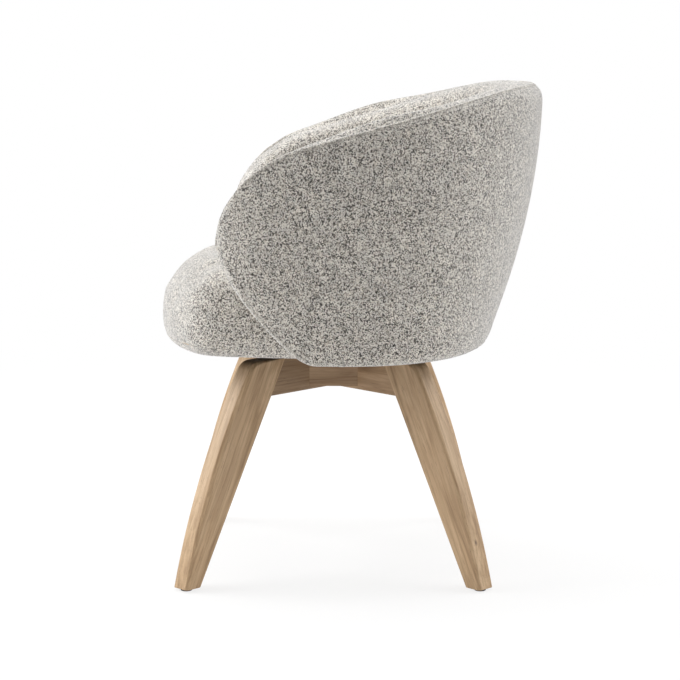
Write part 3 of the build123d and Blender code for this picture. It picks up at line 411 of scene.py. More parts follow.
bpy.ops.object.mode_set(mode="EDIT")
bpy.ops.mesh.select_all(action="SELECT")
bpy.ops.mesh.extrude_region_move(TRANSFORM_OT_translate={"value": (0, LEG_THICKNESS, 0)})
bpy.ops.mesh.select_all(action="SELECT")
bpy.ops.mesh.normals_make_consistent(inside=False)
bpy.ops.mesh.select_all(action="DESELECT")
bpy.ops.mesh.select_mode(type="EDGE")
bpy.ops.object.mode_set(mode="OBJECT")
spots = places(leg)
outer_spots = {tuple(np.round(p, SPOT_DIGITS)) for p in outer_line}
for edge in leg.data.edges:
    a, b = (spots[i] for i in edge.vertices)
    on_line = all(tuple(np.round(p[[0, 2]], SPOT_DIGITS)) in outer_spots for p in (a, b))
    edge.select = on_line and abs(a[1] - b[1]) < SOFT_EDGE
bpy.ops.object.mode_set(mode="EDIT")
bpy.ops.mesh.bevel(offset=LEG_CHAMFER, segments=1, affect="EDGES")
bpy.ops.object.mode_set(mode="OBJECT")
bpy.ops.object.shade_smooth()
soften = leg.modifiers.new("sanded_edges", "BEVEL")
soften.width = SOFT_EDGE
soften.segments = 2
soften.limit_method = "ANGLE"
soften.angle_limit = math.radians(SOFT_ANGLE)
soften.harden_normals = True
bpy.ops.object.modifier_apply(modifier=soften.name)

spots = places(leg)
middle_foot = np.array([FOOT_REACH - FOOT_WIDTH / 2, 0.0, GLIDE_HEIGHT])
along = np.array([LEG_TOP_REACH - LEG_TOP_WIDTH / 2, 0.0, LEG_TOP]) - middle_foot
along /= np.linalg.norm(along)
across = np.array([along[2], 0.0, -along[0]])
plank = np.column_stack([(spots - middle_foot) @ along, (spots - middle_foot) @ across, spots[:, 1]])

knot_place = (KNOT_PLACE[0] + PLANK_OFFSET, KNOT_PLACE[1] + PLANK_OFFSET, KNOT_PLACE[2])
leg_finish = oak("oak_legs", knot=knot_place)
for index, (corner, angle) in enumerate(LEG_ANGLES.items()):
    turned = placed(f"oak_leg_{corner}", leg.data.copy())
    grain = turned.data.attributes.new("plank", "FLOAT_VECTOR", "POINT")
    shifted = plank + np.array([1.0, 1.0, 0.0]) * PLANK_OFFSET * (index + 1)
    grain.data.foreach_set("vector", shifted.astype(np.float32).ravel())
    round_swivel = Matrix.Translation((0, SWIVEL_Y, 0)) @ Matrix.Rotation(math.radians(angle), 4, "Z")
    turned.data.transform(round_swivel)
    finish_piece(turned, leg_finish, "leg_frame")
    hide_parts(f"leg_{corner}")
bpy.data.objects.remove(leg)
print("legs:", len(LEG_ANGLES), "of", len(spots), "points")

# %% [markdown]
# ## Plastic, steel, nylon, plywood
# The hidden swivel keeps its solids. Zinc plating is dull with cloudy patches, bearing steel is bright,
# nylon is waxy, and moulded glides have a fine pitted skin. Plywood shows its layers on the edge.

# %% Finish the hard parts
SPECKLE_DETAIL = 5.0
SPECKLE_BUMP = 0.4


def speckled(name, colours, scale, roughness, metal=0.0, relief=0.0, squeeze=(1, 1, 1)):
    """A finish whose colour and roughness wander with a noise."""
    finish, shader = new_finish(name)
    place = add_node(finish, "ShaderNodeTexCoord").outputs["Object"]
    spread = add_node(finish, "ShaderNodeMapping", {"Vector": place}, Scale=squeeze).outputs["Vector"]
    speckles = add_node(finish, "ShaderNodeTexNoise", {"Vector": spread}, Scale=scale,
                        Detail=SPECKLE_DETAIL)
    noise = speckles.outputs["Fac"]
    link(finish, ramp(finish, noise, [(0.32, colours[0]), (0.68, colours[1])]), shader, "Base Color")
    link(finish, ranged(finish, noise, *roughness), shader, "Roughness")
    set_sockets(shader, Metallic=metal)
    if relief:
        bump = add_node(finish, "ShaderNodeBump", {"Height": noise}, Strength=SPECKLE_BUMP, Distance=relief)
        link(finish, bump.outputs["Normal"], shader, "Normal")
    return finish


zinc = speckled("zinc_plate", ((0.52, 0.53, 0.55), (0.68, 0.69, 0.71)), scale=130.0, roughness=(0.32, 0.50),
                metal=1.0, relief=0.0002)
bearing = speckled("bearing_steel", ((0.70, 0.71, 0.73), (0.78, 0.79, 0.81)), scale=60.0,
                   roughness=(0.12, 0.20), metal=1.0)
nylon = speckled("waxy_nylon", ((0.74, 0.73, 0.69), (0.82, 0.81, 0.77)), scale=90.0, roughness=(0.38, 0.48),
                 relief=0.0002)
glide_plastic = speckled("glide_plastic", ((0.016, 0.016, 0.017), (0.030, 0.030, 0.031)), scale=900.0,
                         roughness=(0.45, 0.62), relief=0.0002)
plywood = speckled("birch_plywood", ((0.55, 0.41, 0.27), (0.74, 0.60, 0.43)), scale=1.0,
                   roughness=(0.60, 0.75), relief=0.0003, squeeze=(30, 12, 640))
dress(zinc, "swivel_lower_plate", "swivel_upper_plate", "pivot_pin", "pivot_washer", "pivot_nut",
      "swivel_stop_pin", "base_plate_screws", "upper_plate_bolts", "board_t_nuts", "back_frame_screws")
dress(bearing, "lower_race", "upper_race", "bearing_balls")
dress(nylon, "bearing_cage", "pivot_bush")
dress(plywood, "seat_board")
dress(glide_plastic, *[f"glide_{corner}" for corner in LEG_ANGLES])
print("hard parts dressed")

# %% [markdown]
# ## Flecked cloth
# The cover is a looped weave of cream, taupe and grey yarns, so close up it is a field of small flecks. A
# Voronoi pattern gives one random colour to each loop, a noise bends the loops out of line, and the same
# cells raise them and paint shade into the gaps between them. It all reads object coordinates in three
# dimensions, so it needs no unwrapping and runs over every seam at the same scale.

# %% Mix the cloth
LOOP_SIZE = 0.0016
YARN_CREAM = (0.820, 0.790, 0.728)
YARN_SAND = (0.640, 0.590, 0.520)
YARN_TAUPE = (0.460, 0.420, 0.370)
YARN_GREY = (0.250, 0.228, 0.202)
YARN_DARK = (0.070, 0.064, 0.056)
# Share of cream mixed into the seams' cloth: a painted highlight for the light their ridges catch
SEAM_PAINTED_HIGHLIGHT = 0.25
BEND_SCALE = 260.0
BEND_LOOPS = 1.6
NOISE_MIDDLE = (0.5, 0.5, 0.5)
LOOP_RANDOMNESS = 0.9
CLUMP_SCALE = 55.0
CLUMP_TONES = ((0.86, 0.86, 0.87), (1.08, 1.07, 1.06))
# Painted shade in the gaps between the loops
GAP_PAINTED_SHADE = (0.62, 0.60, 0.58)
LOOP_RELIEF = 0.65


def flecked_cloth(name, painted_highlight=0.0):
    """Looped weave with flecks of five yarns, paled towards cream by a painted highlight where it covers a
    seam.
    """
    finish, shader = new_finish(name)
    place = add_node(finish, "ShaderNodeTexCoord").outputs["Object"]
    wander = add_node(finish, "ShaderNodeTexNoise", {"Vector": place}, Scale=BEND_SCALE, Detail=2.0)
    centred = calculate(finish, "SUBTRACT", wander.outputs["Color"], NOISE_MIDDLE)["Vector"]
    amount = add_node(finish, "ShaderNodeVectorMath", {0: centred}, operation="SCALE",
                      Scale=LOOP_SIZE * BEND_LOOPS).outputs["Vector"]
    bent = calculate(finish, "ADD", place, amount)["Vector"]
    loops = add_node(finish, "ShaderNodeTexVoronoi", {"Vector": bent}, Scale=1 / LOOP_SIZE,
                     Randomness=LOOP_RANDOMNESS)
    pick = add_node(finish, "ShaderNodeSeparateColor", {"Color": loops.outputs["Color"]}).outputs["Red"]
    yarns = ramp(finish, pick, [(0.0, YARN_DARK), (0.20, YARN_GREY), (0.32, YARN_TAUPE), (0.45, YARN_SAND),
                                (0.58, YARN_CREAM)])
    yarns.node.color_ramp.interpolation = "CONSTANT"
    # Painted highlight: the yarns are paled towards cream
    if painted_highlight:
        yarns = mix(finish, painted_highlight, yarns, YARN_CREAM)
    clumps = add_node(finish, "ShaderNodeTexNoise", {"Vector": place}, Scale=CLUMP_SCALE, Detail=4.0)
    tone = ramp(finish, clumps.outputs["Fac"], [(0.30, CLUMP_TONES[0]), (0.70, CLUMP_TONES[1])])
    colour = mix(finish, 1.0, yarns, tone, "MULTIPLY")
    # Painted shade: the colour darkens towards each loop's edge, where the gaps between loops lie in shadow
    gap_painted_shade = ramp(finish, loops.outputs["Distance"], [(0.45, WHITE), (0.95, GAP_PAINTED_SHADE)])
    colour = mix(finish, 1.0, colour, gap_painted_shade, "MULTIPLY")
    link(finish, colour, shader, "Base Color")
    set_sockets(shader, Roughness=0.95, Specular_IOR_Level=0.15, Sheen_Weight=1.0, Sheen_Roughness=0.45)
    height = calculate(finish, "MULTIPLY", loops.outputs["Distance"], -1.0, kind="ShaderNodeMath")[0]
    relief = add_node(finish, "ShaderNodeBump", {"Height": height}, Strength=LOOP_RELIEF, Distance=LOOP_SIZE)
    link(finish, relief.outputs["Normal"], shader, "Normal")
    return finish


cloth = flecked_cloth("flecked_cloth")
seam_cloth_painted_highlight = flecked_cloth("seam_cloth_painted_highlight", painted_highlight=SEAM_PAINTED_HIGHLIGHT)
print("cloth mixed")

# %% [markdown]
# ## Padding by cloth simulation
# A sewn cover is a closed bag with foam pressing out. Blender's Cloth can do just that: gravity off, some
# pressure inside, the seams pinned. Twenty frames are enough. The start is a little smaller than the real
# cushion, and no point may move further than a cap, so the result keeps its size.

# %% The plumping step
SIM_FRAMES = 20
SIM_QUALITY = 5
STILL = 1e-9


def plump(piece, cap, pressure, pinned):
    """Swell a closed cover with pinned seams, cap the movement and keep the result."""
    before = places(piece)
    bag = piece.modifiers.new("swell", "CLOTH")
    bag.settings.quality = SIM_QUALITY
    bag.settings.use_pressure = True
    bag.settings.uniform_pressure_force = pressure
    bag.settings.vertex_group_mass = pinned
    bag.settings.effector_weights.gravity = 0
    bag.point_cache.frame_start = 1
    bag.point_cache.frame_end = SIM_FRAMES
    for step in range(1, SIM_FRAMES + 1):
        scene.frame_set(step)
    swollen = piece.evaluated_get(bpy.context.evaluated_depsgraph_get())
    after = places(swollen)
    piece.modifiers.remove(bag)
    scene.frame_set(1)
    move = after - before
    length = np.linalg.norm(move, axis=1)
    limit = np.minimum(1.0, cap / np.maximum(length, STILL))
    put(piece, before + move * limit[:, None])
    return float(length.max())


def refine(piece, levels):
    """Subdivide a piece smoothly and shade it smooth."""
    only(piece)
    smooth = piece.modifiers.new("finer", "SUBSURF")
    smooth.levels = levels
    smooth.render_levels = levels
    bpy.ops.object.modifier_apply(modifier=smooth.name)
    bpy.ops.object.shade_smooth()


def shaped_grid(name, rows):
    """A primitive grid whose points take the places of an array of rows."""
    count, width = rows.shape[:2]
    bpy.ops.object.select_all(action="DESELECT")
    bpy.ops.mesh.primitive_grid_add(x_subdivisions=count - 1, y_subdivisions=width - 1, size=2)
    piece = bpy.context.object
    piece.name = name
    flat = places(piece)
    u = np.rint((flat[:, 0] + 1) / 2 * (count - 1)).astype(int)
    v = np.rint((flat[:, 1] + 1) / 2 * (width - 1)).astype(int)
    put(piece, rows[u, v])
    return piece, u, v


def mark(piece, name, indices):
    """Put points in a named vertex group."""
    group = piece.vertex_groups.new(name=name)
    group.add([int(i) for i in indices], 1.0, "REPLACE")


print("plumping ready")

# %% [markdown]
# ## Back and arms
# The back is one padded shell: a half circle in plan that runs on into two arms. Its rim falls towards
# the front and rounds off at each nose, and its lower edge sweeps up under the arms. A long grid is
# wrapped round an upright section at each of many stations, closed at the noses, and then plumped. The
# rim seam and the underside are pinned, so the cloth swells on both sides of the seam as a real cover
# does. The shell stands for the plywood inside it too, whose lower edge is squarer than the cloth that
# hides it.

# %% Lines of the back
BACK_RADIUS = 0.300
REAR_Y = 0.307
BACK_CENTRE_Y = REAR_Y - BACK_RADIUS
ARM_LENGTH = 0.219
ARM_TOE_IN = 0.022
ARM_RADIUS = (ARM_LENGTH**2 + ARM_TOE_IN**2) / (2 * ARM_TOE_IN)
NOSE_Y = BACK_CENTRE_Y - ARM_LENGTH
NOSE_LENGTH = 0.142
NOSE_TIP_HEIGHT = 0.542
NOSE_ROUND = 0.045
NOSE_THICKNESS = 0.048
BACK_BOTTOM = 0.357
RIM_REAR = 0.778
RIM_SLOPE = 0.275
RIM_EASE = 0.060
RIM_CROWN = 0.003
ARM_RIM_CROWN = 0.012
ARM_RIM_CROWN_Y = 0.035
ARM_RIM_CROWN_REACH = 0.100
UNDERCUT_LENGTH = 0.149
UNDERCUT_RISE = 0.156
UNDERCUT_POWER = 1.36
UNDER_NOSE_LENGTH = 0.044
REAR_LEAN = 0.093
SIDE_LEAN = 0.016
LEAN_SPREAD = 2.4
ARM_PADDING = 0.062
ARM_CROWN = 0.004
REAR_PADDING = ((BACK_BOTTOM, 0.144), (0.520, 0.155), (RIM_REAR, 0.060))
PADDING_SPREAD = 1.5
RIM_OUTER_REAR = 0.034
RIM_OUTER_ARM = 0.010
RIM_INNER = 0.034
BOTTOM_RADIUS = 0.016
BOTTOM_REAR_EXTRA = 0.020
RIM_OUTER_SHARE = 0.45
RIM_INNER_SHARE = 0.46
BOTTOM_SHARE = 0.30
SEAM_ANGLE = 68.0
BOARD_TOP = 0.377
BOARD_GAP = 0.0015
BOARD_EASE = 0.006


def rear_station(angle):
    """Plan place, outward direction and rearness on the half circle."""
    side, back = math.sin(angle), math.cos(angle)
    return (BACK_RADIUS * side, BACK_CENTRE_Y + BACK_RADIUS * back, side, back, max(back, 0.0))


def arm_station(from_nose, side):
    """Plan place and outward direction on an arm, at a distance behind its nose."""
    turn = math.asin((ARM_LENGTH - from_nose) / ARM_RADIUS)
    reach = BACK_RADIUS - ARM_RADIUS + ARM_RADIUS * math.cos(turn)
    return (side * reach, NOSE_Y + from_nose, side * math.cos(turn), -math.sin(turn), 0.0)


def round_share(distance, length):
    """Drop of a quarter ellipse, from 0 at its start to 1 at its end."""
    share = min(max(distance / length, 0.0), 1.0)
    return 1 - math.sqrt(1 - share**2)


def hump(share):
    """A parabola that is 0 at both ends and 1 in the middle."""
    return 4 * share * (1 - share)


def rim_line(y):
    """Height of the rim before its end is rounded: a slope that levels out at the rear."""
    return RIM_REAR - RIM_SLOPE * (math.hypot(REAR_Y - y, RIM_EASE) - RIM_EASE)


def rim_height(y):
    """Height of the rim, which rounds off towards the nose."""
    drop = rim_line(NOSE_Y) - NOSE_TIP_HEIGHT
    return rim_line(y) - drop * round_share(NOSE_Y + NOSE_LENGTH - y, NOSE_LENGTH)


def low_height(y):
    """Height of the lower edge, which sweeps up under the arms."""
    forward = max(NOSE_Y + UNDERCUT_LENGTH - y, 0.0)
    sweep = UNDERCUT_RISE * (forward / UNDERCUT_LENGTH) ** UNDERCUT_POWER
    lift = NOSE_TIP_HEIGHT - BACK_BOTTOM - UNDERCUT_RISE
    return BACK_BOTTOM + sweep + lift * round_share(NOSE_Y + UNDER_NOSE_LENGTH - y, UNDER_NOSE_LENGTH)


def rim_crown(y):
    """Rise of the rim between its two corners, fuller over the rear half of the arms."""
    return RIM_CROWN + ARM_RIM_CROWN * math.exp(-(((y - ARM_RIM_CROWN_Y) / ARM_RIM_CROWN_REACH) ** 2))


def nose_pinch(station):
    """How far each face draws in towards the nose of an arm."""
    behind = station[1] - NOSE_Y if station[4] == 0 else NOSE_ROUND
    return NOSE_THICKNESS / 2 * round_share(NOSE_ROUND - behind, NOSE_ROUND)


def outer_face(station, z):
    """Outward place of the outer face, which leans in towards the bottom."""
    lean = SIDE_LEAN + station[4] ** LEAN_SPREAD * (REAR_LEAN - SIDE_LEAN)
    top = RIM_REAR + RIM_CROWN
    radius = ((top - BACK_BOTTOM) ** 2 + lean**2) / (2 * lean)
    return math.sqrt(radius**2 - (top - z) ** 2) - radius - nose_pinch(station)


def rear_padding(z):
    """Depth of the padding at the rear centre, a parabola through three depths."""
    heights = [place for place, _ in REAR_PADDING]
    return float(np.polyval(np.polyfit(heights, [depth for _, depth in REAR_PADDING], 2), z))


def inner_face(station, z):
    """Outward place of the inner face, with a slight crown along the arms."""
    low, high = low_height(station[1]), rim_height(station[1])
    share = (z - low) / (high - low)
    crown = ARM_CROWN * hump(share) * (high - low) / (RIM_REAR - BACK_BOTTOM)
    padding = ARM_PADDING + station[4] ** PADDING_SPREAD * (rear_padding(z) - ARM_PADDING)
    return -padding - crown + nose_pinch(station)


def corner_arc(centre, radius, start, end, count):
    """Points round a corner between two angles in degrees."""
    return [(centre[0] + radius * math.cos(a), centre[1] + radius * math.sin(a))
            for a in np.radians(np.linspace(start, end, count))]


OUTER_POINTS = 26
INNER_POINTS = 24
CORNER_POINTS = 5
SEAM_POINTS = 3
INNER_RIM_POINTS = 8
QUARTERS = (0.25, 0.5, 0.75)
START_INSET = 0.0014
INSET_SHARE = 0.5


def section(station):
    """Closed upright section in outward place and height. It also gives the seam's index."""
    low, high = low_height(station[1]), rim_height(station[1])
    board = BOARD_TOP + BOARD_GAP
    inner_low = (low + board + math.hypot(low - board, BOARD_EASE)) / 2
    room = min(outer_face(station, high) - inner_face(station, high), high - low)
    outer = min(RIM_OUTER_ARM + station[4] * (RIM_OUTER_REAR - RIM_OUTER_ARM), RIM_OUTER_SHARE * room)
    inner = min(RIM_INNER, RIM_INNER_SHARE * room)
    bottom = min(BOTTOM_RADIUS, BOTTOM_SHARE * room) + station[4] * BOTTOM_REAR_EXTRA
    inset = min(START_INSET, INSET_SHARE * min(outer, bottom))
    top_out = (outer_face(station, high - outer) - outer, high - outer)
    top_in = (inner_face(station, high - inner) + inner, high - inner)
    low_out = (outer_face(station, low + bottom) - bottom, low + bottom)
    low_in = (inner_face(station, inner_low + bottom) + bottom, inner_low + bottom)
    points = corner_arc(low_out, bottom - inset, -90, 0, CORNER_POINTS)
    for z in np.linspace(low_out[1], top_out[1], OUTER_POINTS + 2)[1:-1]:
        points.append((outer_face(station, z) - inset, z))
    points += corner_arc(top_out, outer - inset, 0, SEAM_ANGLE, CORNER_POINTS)
    seam = len(points) - 1
    points += corner_arc(top_out, outer - inset, SEAM_ANGLE, 90, SEAM_POINTS)[1:]
    for share in QUARTERS:
        crown = hump(share) * rim_crown(station[1])
        points.append((top_out[0] + share * (top_in[0] - top_out[0]), high - inset + crown))
    points += corner_arc(top_in, inner - inset, 90, 180, INNER_RIM_POINTS)
    for z in np.linspace(top_in[1], low_in[1], INNER_POINTS + 2)[1:-1]:
        points.append((inner_face(station, z) + inset, z))
    points += corner_arc(low_in, bottom - inset, 180, 270, CORNER_POINTS)
    start = points[0]
    end = points[-1]
    for share in QUARTERS:
        points.append((end[0] + share * (start[0] - end[0]), end[1] + share * (start[1] - end[1])))
    return points, seam


TIP_ANGLES = (2, 4, 7, 10.5)
NOSE_ANGLES = range(14, 90, 4)
ARM_STATIONS = 9
REAR_STATIONS = 101

arm_places = [NOSE_LENGTH * (1 - math.cos(math.radians(step))) for step in (*TIP_ANGLES, *NOSE_ANGLES)]
arm_places += list(np.linspace(NOSE_LENGTH, ARM_LENGTH, ARM_STATIONS)[:-1])
right = [arm_station(place, -1) for place in arm_places]
left = [arm_station(place, 1) for place in reversed(arm_places)]
round_back = [rear_station(angle) for angle in np.radians(np.linspace(-90, 90, REAR_STATIONS))]
back_rows = []
for station in right + round_back + left:
    x, y, out_x, out_y, _ = station
    points, seam_index = section(station)
    back_rows.append([(x + out * out_x, y + out * out_y, z) for out, z in points + points[:1]])
back_rows = np.array(back_rows)
print("back:", back_rows.shape[0], "stations of", back_rows.shape[1], "points")

# %% Wrap, close and plump the back
UNDERSIDE_POINTS = 10
LOWER_SEAM = 2
BACK_MERGE = 1e-5
BACK_PRESSURE = 3.0
BACK_CAP = 0.0034

back, u, v = shaped_grid("back_upholstery", back_rows)
last = back_rows.shape[1] - 1
under = (v >= last - UNDERSIDE_POINTS // 2) | (v <= 1)
mark(back, "rim_seam", np.flatnonzero(v == seam_index))
mark(back, "lower_seam", np.flatnonzero(v == LOWER_SEAM))
mark(back, "sewn_down", np.flatnonzero((v == seam_index) | under))
only(back)
bpy.ops.object.mode_set(mode="EDIT")
bpy.ops.mesh.select_all(action="SELECT")
bpy.ops.mesh.remove_doubles(threshold=BACK_MERGE)
bpy.ops.mesh.select_all(action="DESELECT")
bpy.ops.mesh.select_mode(type="VERT")
bpy.ops.mesh.select_non_manifold()
bpy.ops.mesh.fill_holes(sides=0)
bpy.ops.mesh.select_all(action="SELECT")
bpy.ops.mesh.normals_make_consistent(inside=False)
bpy.ops.object.mode_set(mode="OBJECT")
back_move = plump(back, BACK_CAP, BACK_PRESSURE, "sewn_down")
print("back plumped, largest free move:", round(back_move * 1000, 1), "mm")

# %% Refine the back and finish it
refine(back, levels=1)
finish_piece(back, cloth, "seat_shell")
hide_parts("back_cover_outer", "back_cover_inner", "back_foam_outer", "back_foam_inner", "back_frame")
print("back faces:", len(back.data.polygons))

# %% [markdown]
# ## Seat cushion
# The seat is a thick pillow: a plan of four large arcs with rounded corners, a domed top and sides that
# draw in below. A square grid becomes the top, its border is extruded down in rings that swell and draw
# in, and the last rings turn in under the board, as a stapled cover does, and end out of sight inside the
# board. The lowest points are pinned while the rest is plumped.

# %% Plan and profile of the seat
FRONT_Y = -0.307
SEAT_REAR_Y = 0.150
SEAT_MIDDLE_Y = (FRONT_Y + SEAT_REAR_Y) / 2
SEAT_SIDE_GAP = 0.004
SEAT_HALF_WIDTH = BACK_RADIUS - ARM_PADDING - SEAT_SIDE_GAP
SEAT_FRONT_RADIUS = 0.340
SEAT_REAR_RADIUS = 0.360
SEAT_CIRCLES = {
    "side": ((BACK_RADIUS - ARM_RADIUS, BACK_CENTRE_Y), ARM_RADIUS - ARM_PADDING - SEAT_SIDE_GAP),
    "front": ((0.0, FRONT_Y + SEAT_FRONT_RADIUS), SEAT_FRONT_RADIUS),
    "rear": ((0.0, SEAT_REAR_Y - SEAT_REAR_RADIUS), SEAT_REAR_RADIUS),
}
SEAT_FRONT_CORNER = 0.075
SEAT_REAR_CORNER = 0.116
SEAT_CROWN = 0.502
SEAT_WIDEST = 0.388
SEAT_BASE = 0.362
SEAT_TUCK = 0.018
CROWN_POWER = 2.5
SIDE_POWER = 9.0
TOP_CELLS = 48
TOP_SHARE = 0.93
TOP_EASE = math.pi / 2 * 0.86
SEAT_SHRINK = 0.003
CROWN_SHRINK = 0.0006
OUTLINE_STEPS = 721


def reach_of(circle, direction):
    """Distance from the seat's middle to a circle along a direction."""
    (x, y), radius = circle
    to_centre = np.array([x, y - SEAT_MIDDLE_Y])
    ahead = to_centre @ direction
    return ahead + math.sqrt(max(radius**2 - to_centre @ to_centre + ahead**2, 0.0))


def corner_circle(first, second, radius, sign):
    """Circle of a rounded corner inside two circles, in front for -1 and behind for 1."""
    (x1, y1), r1 = SEAT_CIRCLES[first]
    (x2, y2), r2 = SEAT_CIRCLES[second]
    span = math.hypot(x2 - x1, y2 - y1)
    ahead = ((r1 - radius) ** 2 - (r2 - radius) ** 2 + span**2) / (2 * span)
    angle = math.atan2(y2 - y1, x2 - x1) + sign * math.acos(ahead / (r1 - radius))
    return ((x1 + (r1 - radius) * math.cos(angle), y1 + (r1 - radius) * math.sin(angle)), radius)


CORNERS = {
    ("side", "front"): corner_circle("side", "front", SEAT_FRONT_CORNER, -1),
    ("side", "rear"): corner_circle("side", "rear", SEAT_REAR_CORNER, 1),
}


def seat_outline():
    """Dense plan points of one half of the seat as angle and reach from its middle."""
    found = []
    angles = np.linspace(-math.pi / 2, math.pi / 2, OUTLINE_STEPS)
    for angle in angles:
        direction = np.array([math.cos(angle), math.sin(angle)])
        reach = min(reach_of(circle, direction) for circle in SEAT_CIRCLES.values())
        for sides, ((x, y), radius) in CORNERS.items():
            centres = [SEAT_CIRCLES[side][0] for side in sides]
            spans = [math.atan2(y - cy, x - cx) for cx, cy in centres]
            to_centre = np.array([x, y - SEAT_MIDDLE_Y])
            ahead = to_centre @ direction
            inside = radius**2 - to_centre @ to_centre + ahead**2
            if inside <= 0:
                continue
            hit = direction * (ahead + math.sqrt(inside)) - to_centre
            if min(spans) <= math.atan2(hit[1], hit[0]) <= max(spans):
                reach = ahead + math.sqrt(inside)
        found.append(reach)
    return angles, np.array(found)


outline_angles, outline_reach = seat_outline()


def seat_reach(x, y):
    """Plan reach of the seat in the direction of a point from its middle."""
    angle = np.arctan2(y, np.abs(x))
    return np.interp(angle, outline_angles, outline_reach)


def crown_step(share):
    """Share of the crown's height at a share of the plan."""
    return (1 - np.minimum(share, 1.0) ** SIDE_POWER) ** (1 / CROWN_POWER)


print("seat plan:", round(2 * SEAT_HALF_WIDTH, 3), "wide,", round(SEAT_REAR_Y - FRONT_Y, 3), "deep")

# %% Model and plump the seat
RING_STEPS = (0.67, 0.59, 0.51, 0.43, 0.35, 0.27, 0.18, 0.09, 0.0)
LOW_RINGS = (0.25, 0.5, 0.72, 0.9, 1.0)
WRAP_DROP = 0.0016
WRAP_SHARES = (0.985, 0.93, 0.88, 0.86)
WRAP_END_SHARE = 0.97
WRAP_END_RISE = 0.005
SEAT_PRESSURE = 4.0
SEAT_CAP = 0.006
PIN_HEIGHT = 0.012
SAME_HEIGHT = 1e-4

edge = np.linspace(-1, 1, TOP_CELLS + 1)
grid_x, grid_y = np.meshgrid(edge, edge, indexing="ij")
square = np.maximum(np.abs(grid_x), np.abs(grid_y))
angle = np.arctan2(grid_y, grid_x)
full = (1 - SEAT_SHRINK) * seat_reach(np.cos(angle), np.sin(angle))
plan_share = TOP_SHARE * np.sin(square * TOP_EASE) / math.sin(TOP_EASE)
top_height = SEAT_WIDEST + (SEAT_CROWN - SEAT_WIDEST) * crown_step(plan_share) - CROWN_SHRINK
top_rows = np.stack([np.cos(angle) * plan_share * full, SEAT_MIDDLE_Y + np.sin(angle) * plan_share * full,
                     top_height], axis=-1)
seat, _, _ = shaped_grid("seat_cushion", top_rows)
only(seat)
bpy.ops.object.mode_set(mode="EDIT")
bpy.ops.mesh.select_mode(type="EDGE")
bpy.ops.mesh.select_all(action="DESELECT")
bpy.ops.mesh.select_non_manifold()
rim_share = TOP_SHARE
rim_z = float(top_height[0, 0])
rings = []
for step in RING_STEPS:
    swell = (1 - step**CROWN_POWER) ** (1 / SIDE_POWER)
    rings.append((swell, SEAT_WIDEST + step * (SEAT_CROWN - SEAT_WIDEST)))
for step in LOW_RINGS:
    tuck = SEAT_TUCK / SEAT_HALF_WIDTH * step**2
    rings.append((1 - tuck + SEAT_SHRINK * step, SEAT_WIDEST + step * (SEAT_BASE - SEAT_WIDEST)))
for share in WRAP_SHARES:
    rings.append((rings[-1][0] * share, SEAT_BASE - WRAP_DROP))
rings.append((rings[-1][0] * WRAP_END_SHARE, SEAT_BASE + WRAP_END_RISE))
for ring_share, ring_z in rings:
    bpy.ops.mesh.extrude_edges_move(TRANSFORM_OT_translate={"value": (0, 0, ring_z - rim_z)})
    grow = ring_share / rim_share
    bpy.ops.transform.resize(value=(grow, grow, 1), center_override=(0, SEAT_MIDDLE_Y, ring_z))
    rim_share, rim_z = ring_share, ring_z
bpy.ops.mesh.fill_holes(sides=0)
bpy.ops.mesh.select_all(action="SELECT")
bpy.ops.mesh.normals_make_consistent(inside=False)
bpy.ops.object.mode_set(mode="OBJECT")
seat_spots = places(seat)
mark(seat, "sewn_down", np.flatnonzero(seat_spots[:, 2] < SEAT_BASE + PIN_HEIGHT))
hem_height = SEAT_WIDEST + LOW_RINGS[1] * (SEAT_BASE - SEAT_WIDEST)
mark(seat, "hem", np.flatnonzero(np.abs(seat_spots[:, 2] - hem_height) < SAME_HEIGHT))
seat_move = plump(seat, SEAT_CAP, SEAT_PRESSURE, "sewn_down")
refine(seat, levels=1)
finish_piece(seat, cloth, "seat_shell")
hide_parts("seat_cover", "seat_foam_firm", "seat_foam_soft")
print("seat plumped, largest free move:", round(seat_move * 1000, 1), "mm, faces:", len(seat.data.polygons))

# %% [markdown]
# ## Seams
# Where the outer panel meets the inner cover, the seam stands up as a thin welt and a row of stitches
# runs just under it. The panel's lower edge is rolled in the same way, only thicker and deeper in the
# cloth. Both lines were marked before the plumping, so the rolls can follow them exactly. A hem is
# stitched low on the seat.

# %% Rolled seams and rows of stitches
# Radius and lift of each roll
RIM_WELT = (0.0032, -0.0008)
LOWER_WELT = (0.0050, -0.0026)
WELT_TAPER = 0.060
WELT_TIP = 0.15
WELT_REAR_LOSS = 0.45
WELT_WANDER = 0.12
WELT_WAVES = (61.0, 147.0)
WELT_SHIFT = 1.0
STITCH_PITCH = 0.0064
STITCH_LENGTH = 0.0044
STITCH_RADIUS = 0.0006
STITCH_DROP = 0.0048
STITCH_START = 0.060
STITCH_SIDES = 6
STITCH_RINGS = 4
MARKED_FULLY = 0.99
THREAD_TONES = ((0.42, 0.39, 0.35), (0.54, 0.50, 0.45))
THREAD_SCALE = 300.0
THREAD_ROUGHNESS = 0.8


def unrolled(place):
    """Distance along the back's plan line from the rear centre, negative on the right."""
    if place[1] > BACK_CENTRE_Y:
        return BACK_RADIUS * math.atan2(place[0], place[1] - BACK_CENTRE_Y)
    return math.copysign(BACK_RADIUS * math.pi / 2 + BACK_CENTRE_Y - place[1], place[0])


def round_seat(place):
    """Angle round the middle of the seat."""
    return math.atan2(place[0], place[1] - SEAT_MIDDLE_Y)


def seam_line(piece, group, order):
    """Places and outward directions along a marked seam, sorted by an order along it."""
    wanted = piece.vertex_groups[group].index
    found = [vertex for vertex in piece.data.vertices
             if any(g.group == wanted and g.weight > MARKED_FULLY for g in vertex.groups)]
    found.sort(key=lambda vertex: order(vertex.co))
    return np.array([vertex.co for vertex in found]), np.array([vertex.normal for vertex in found])


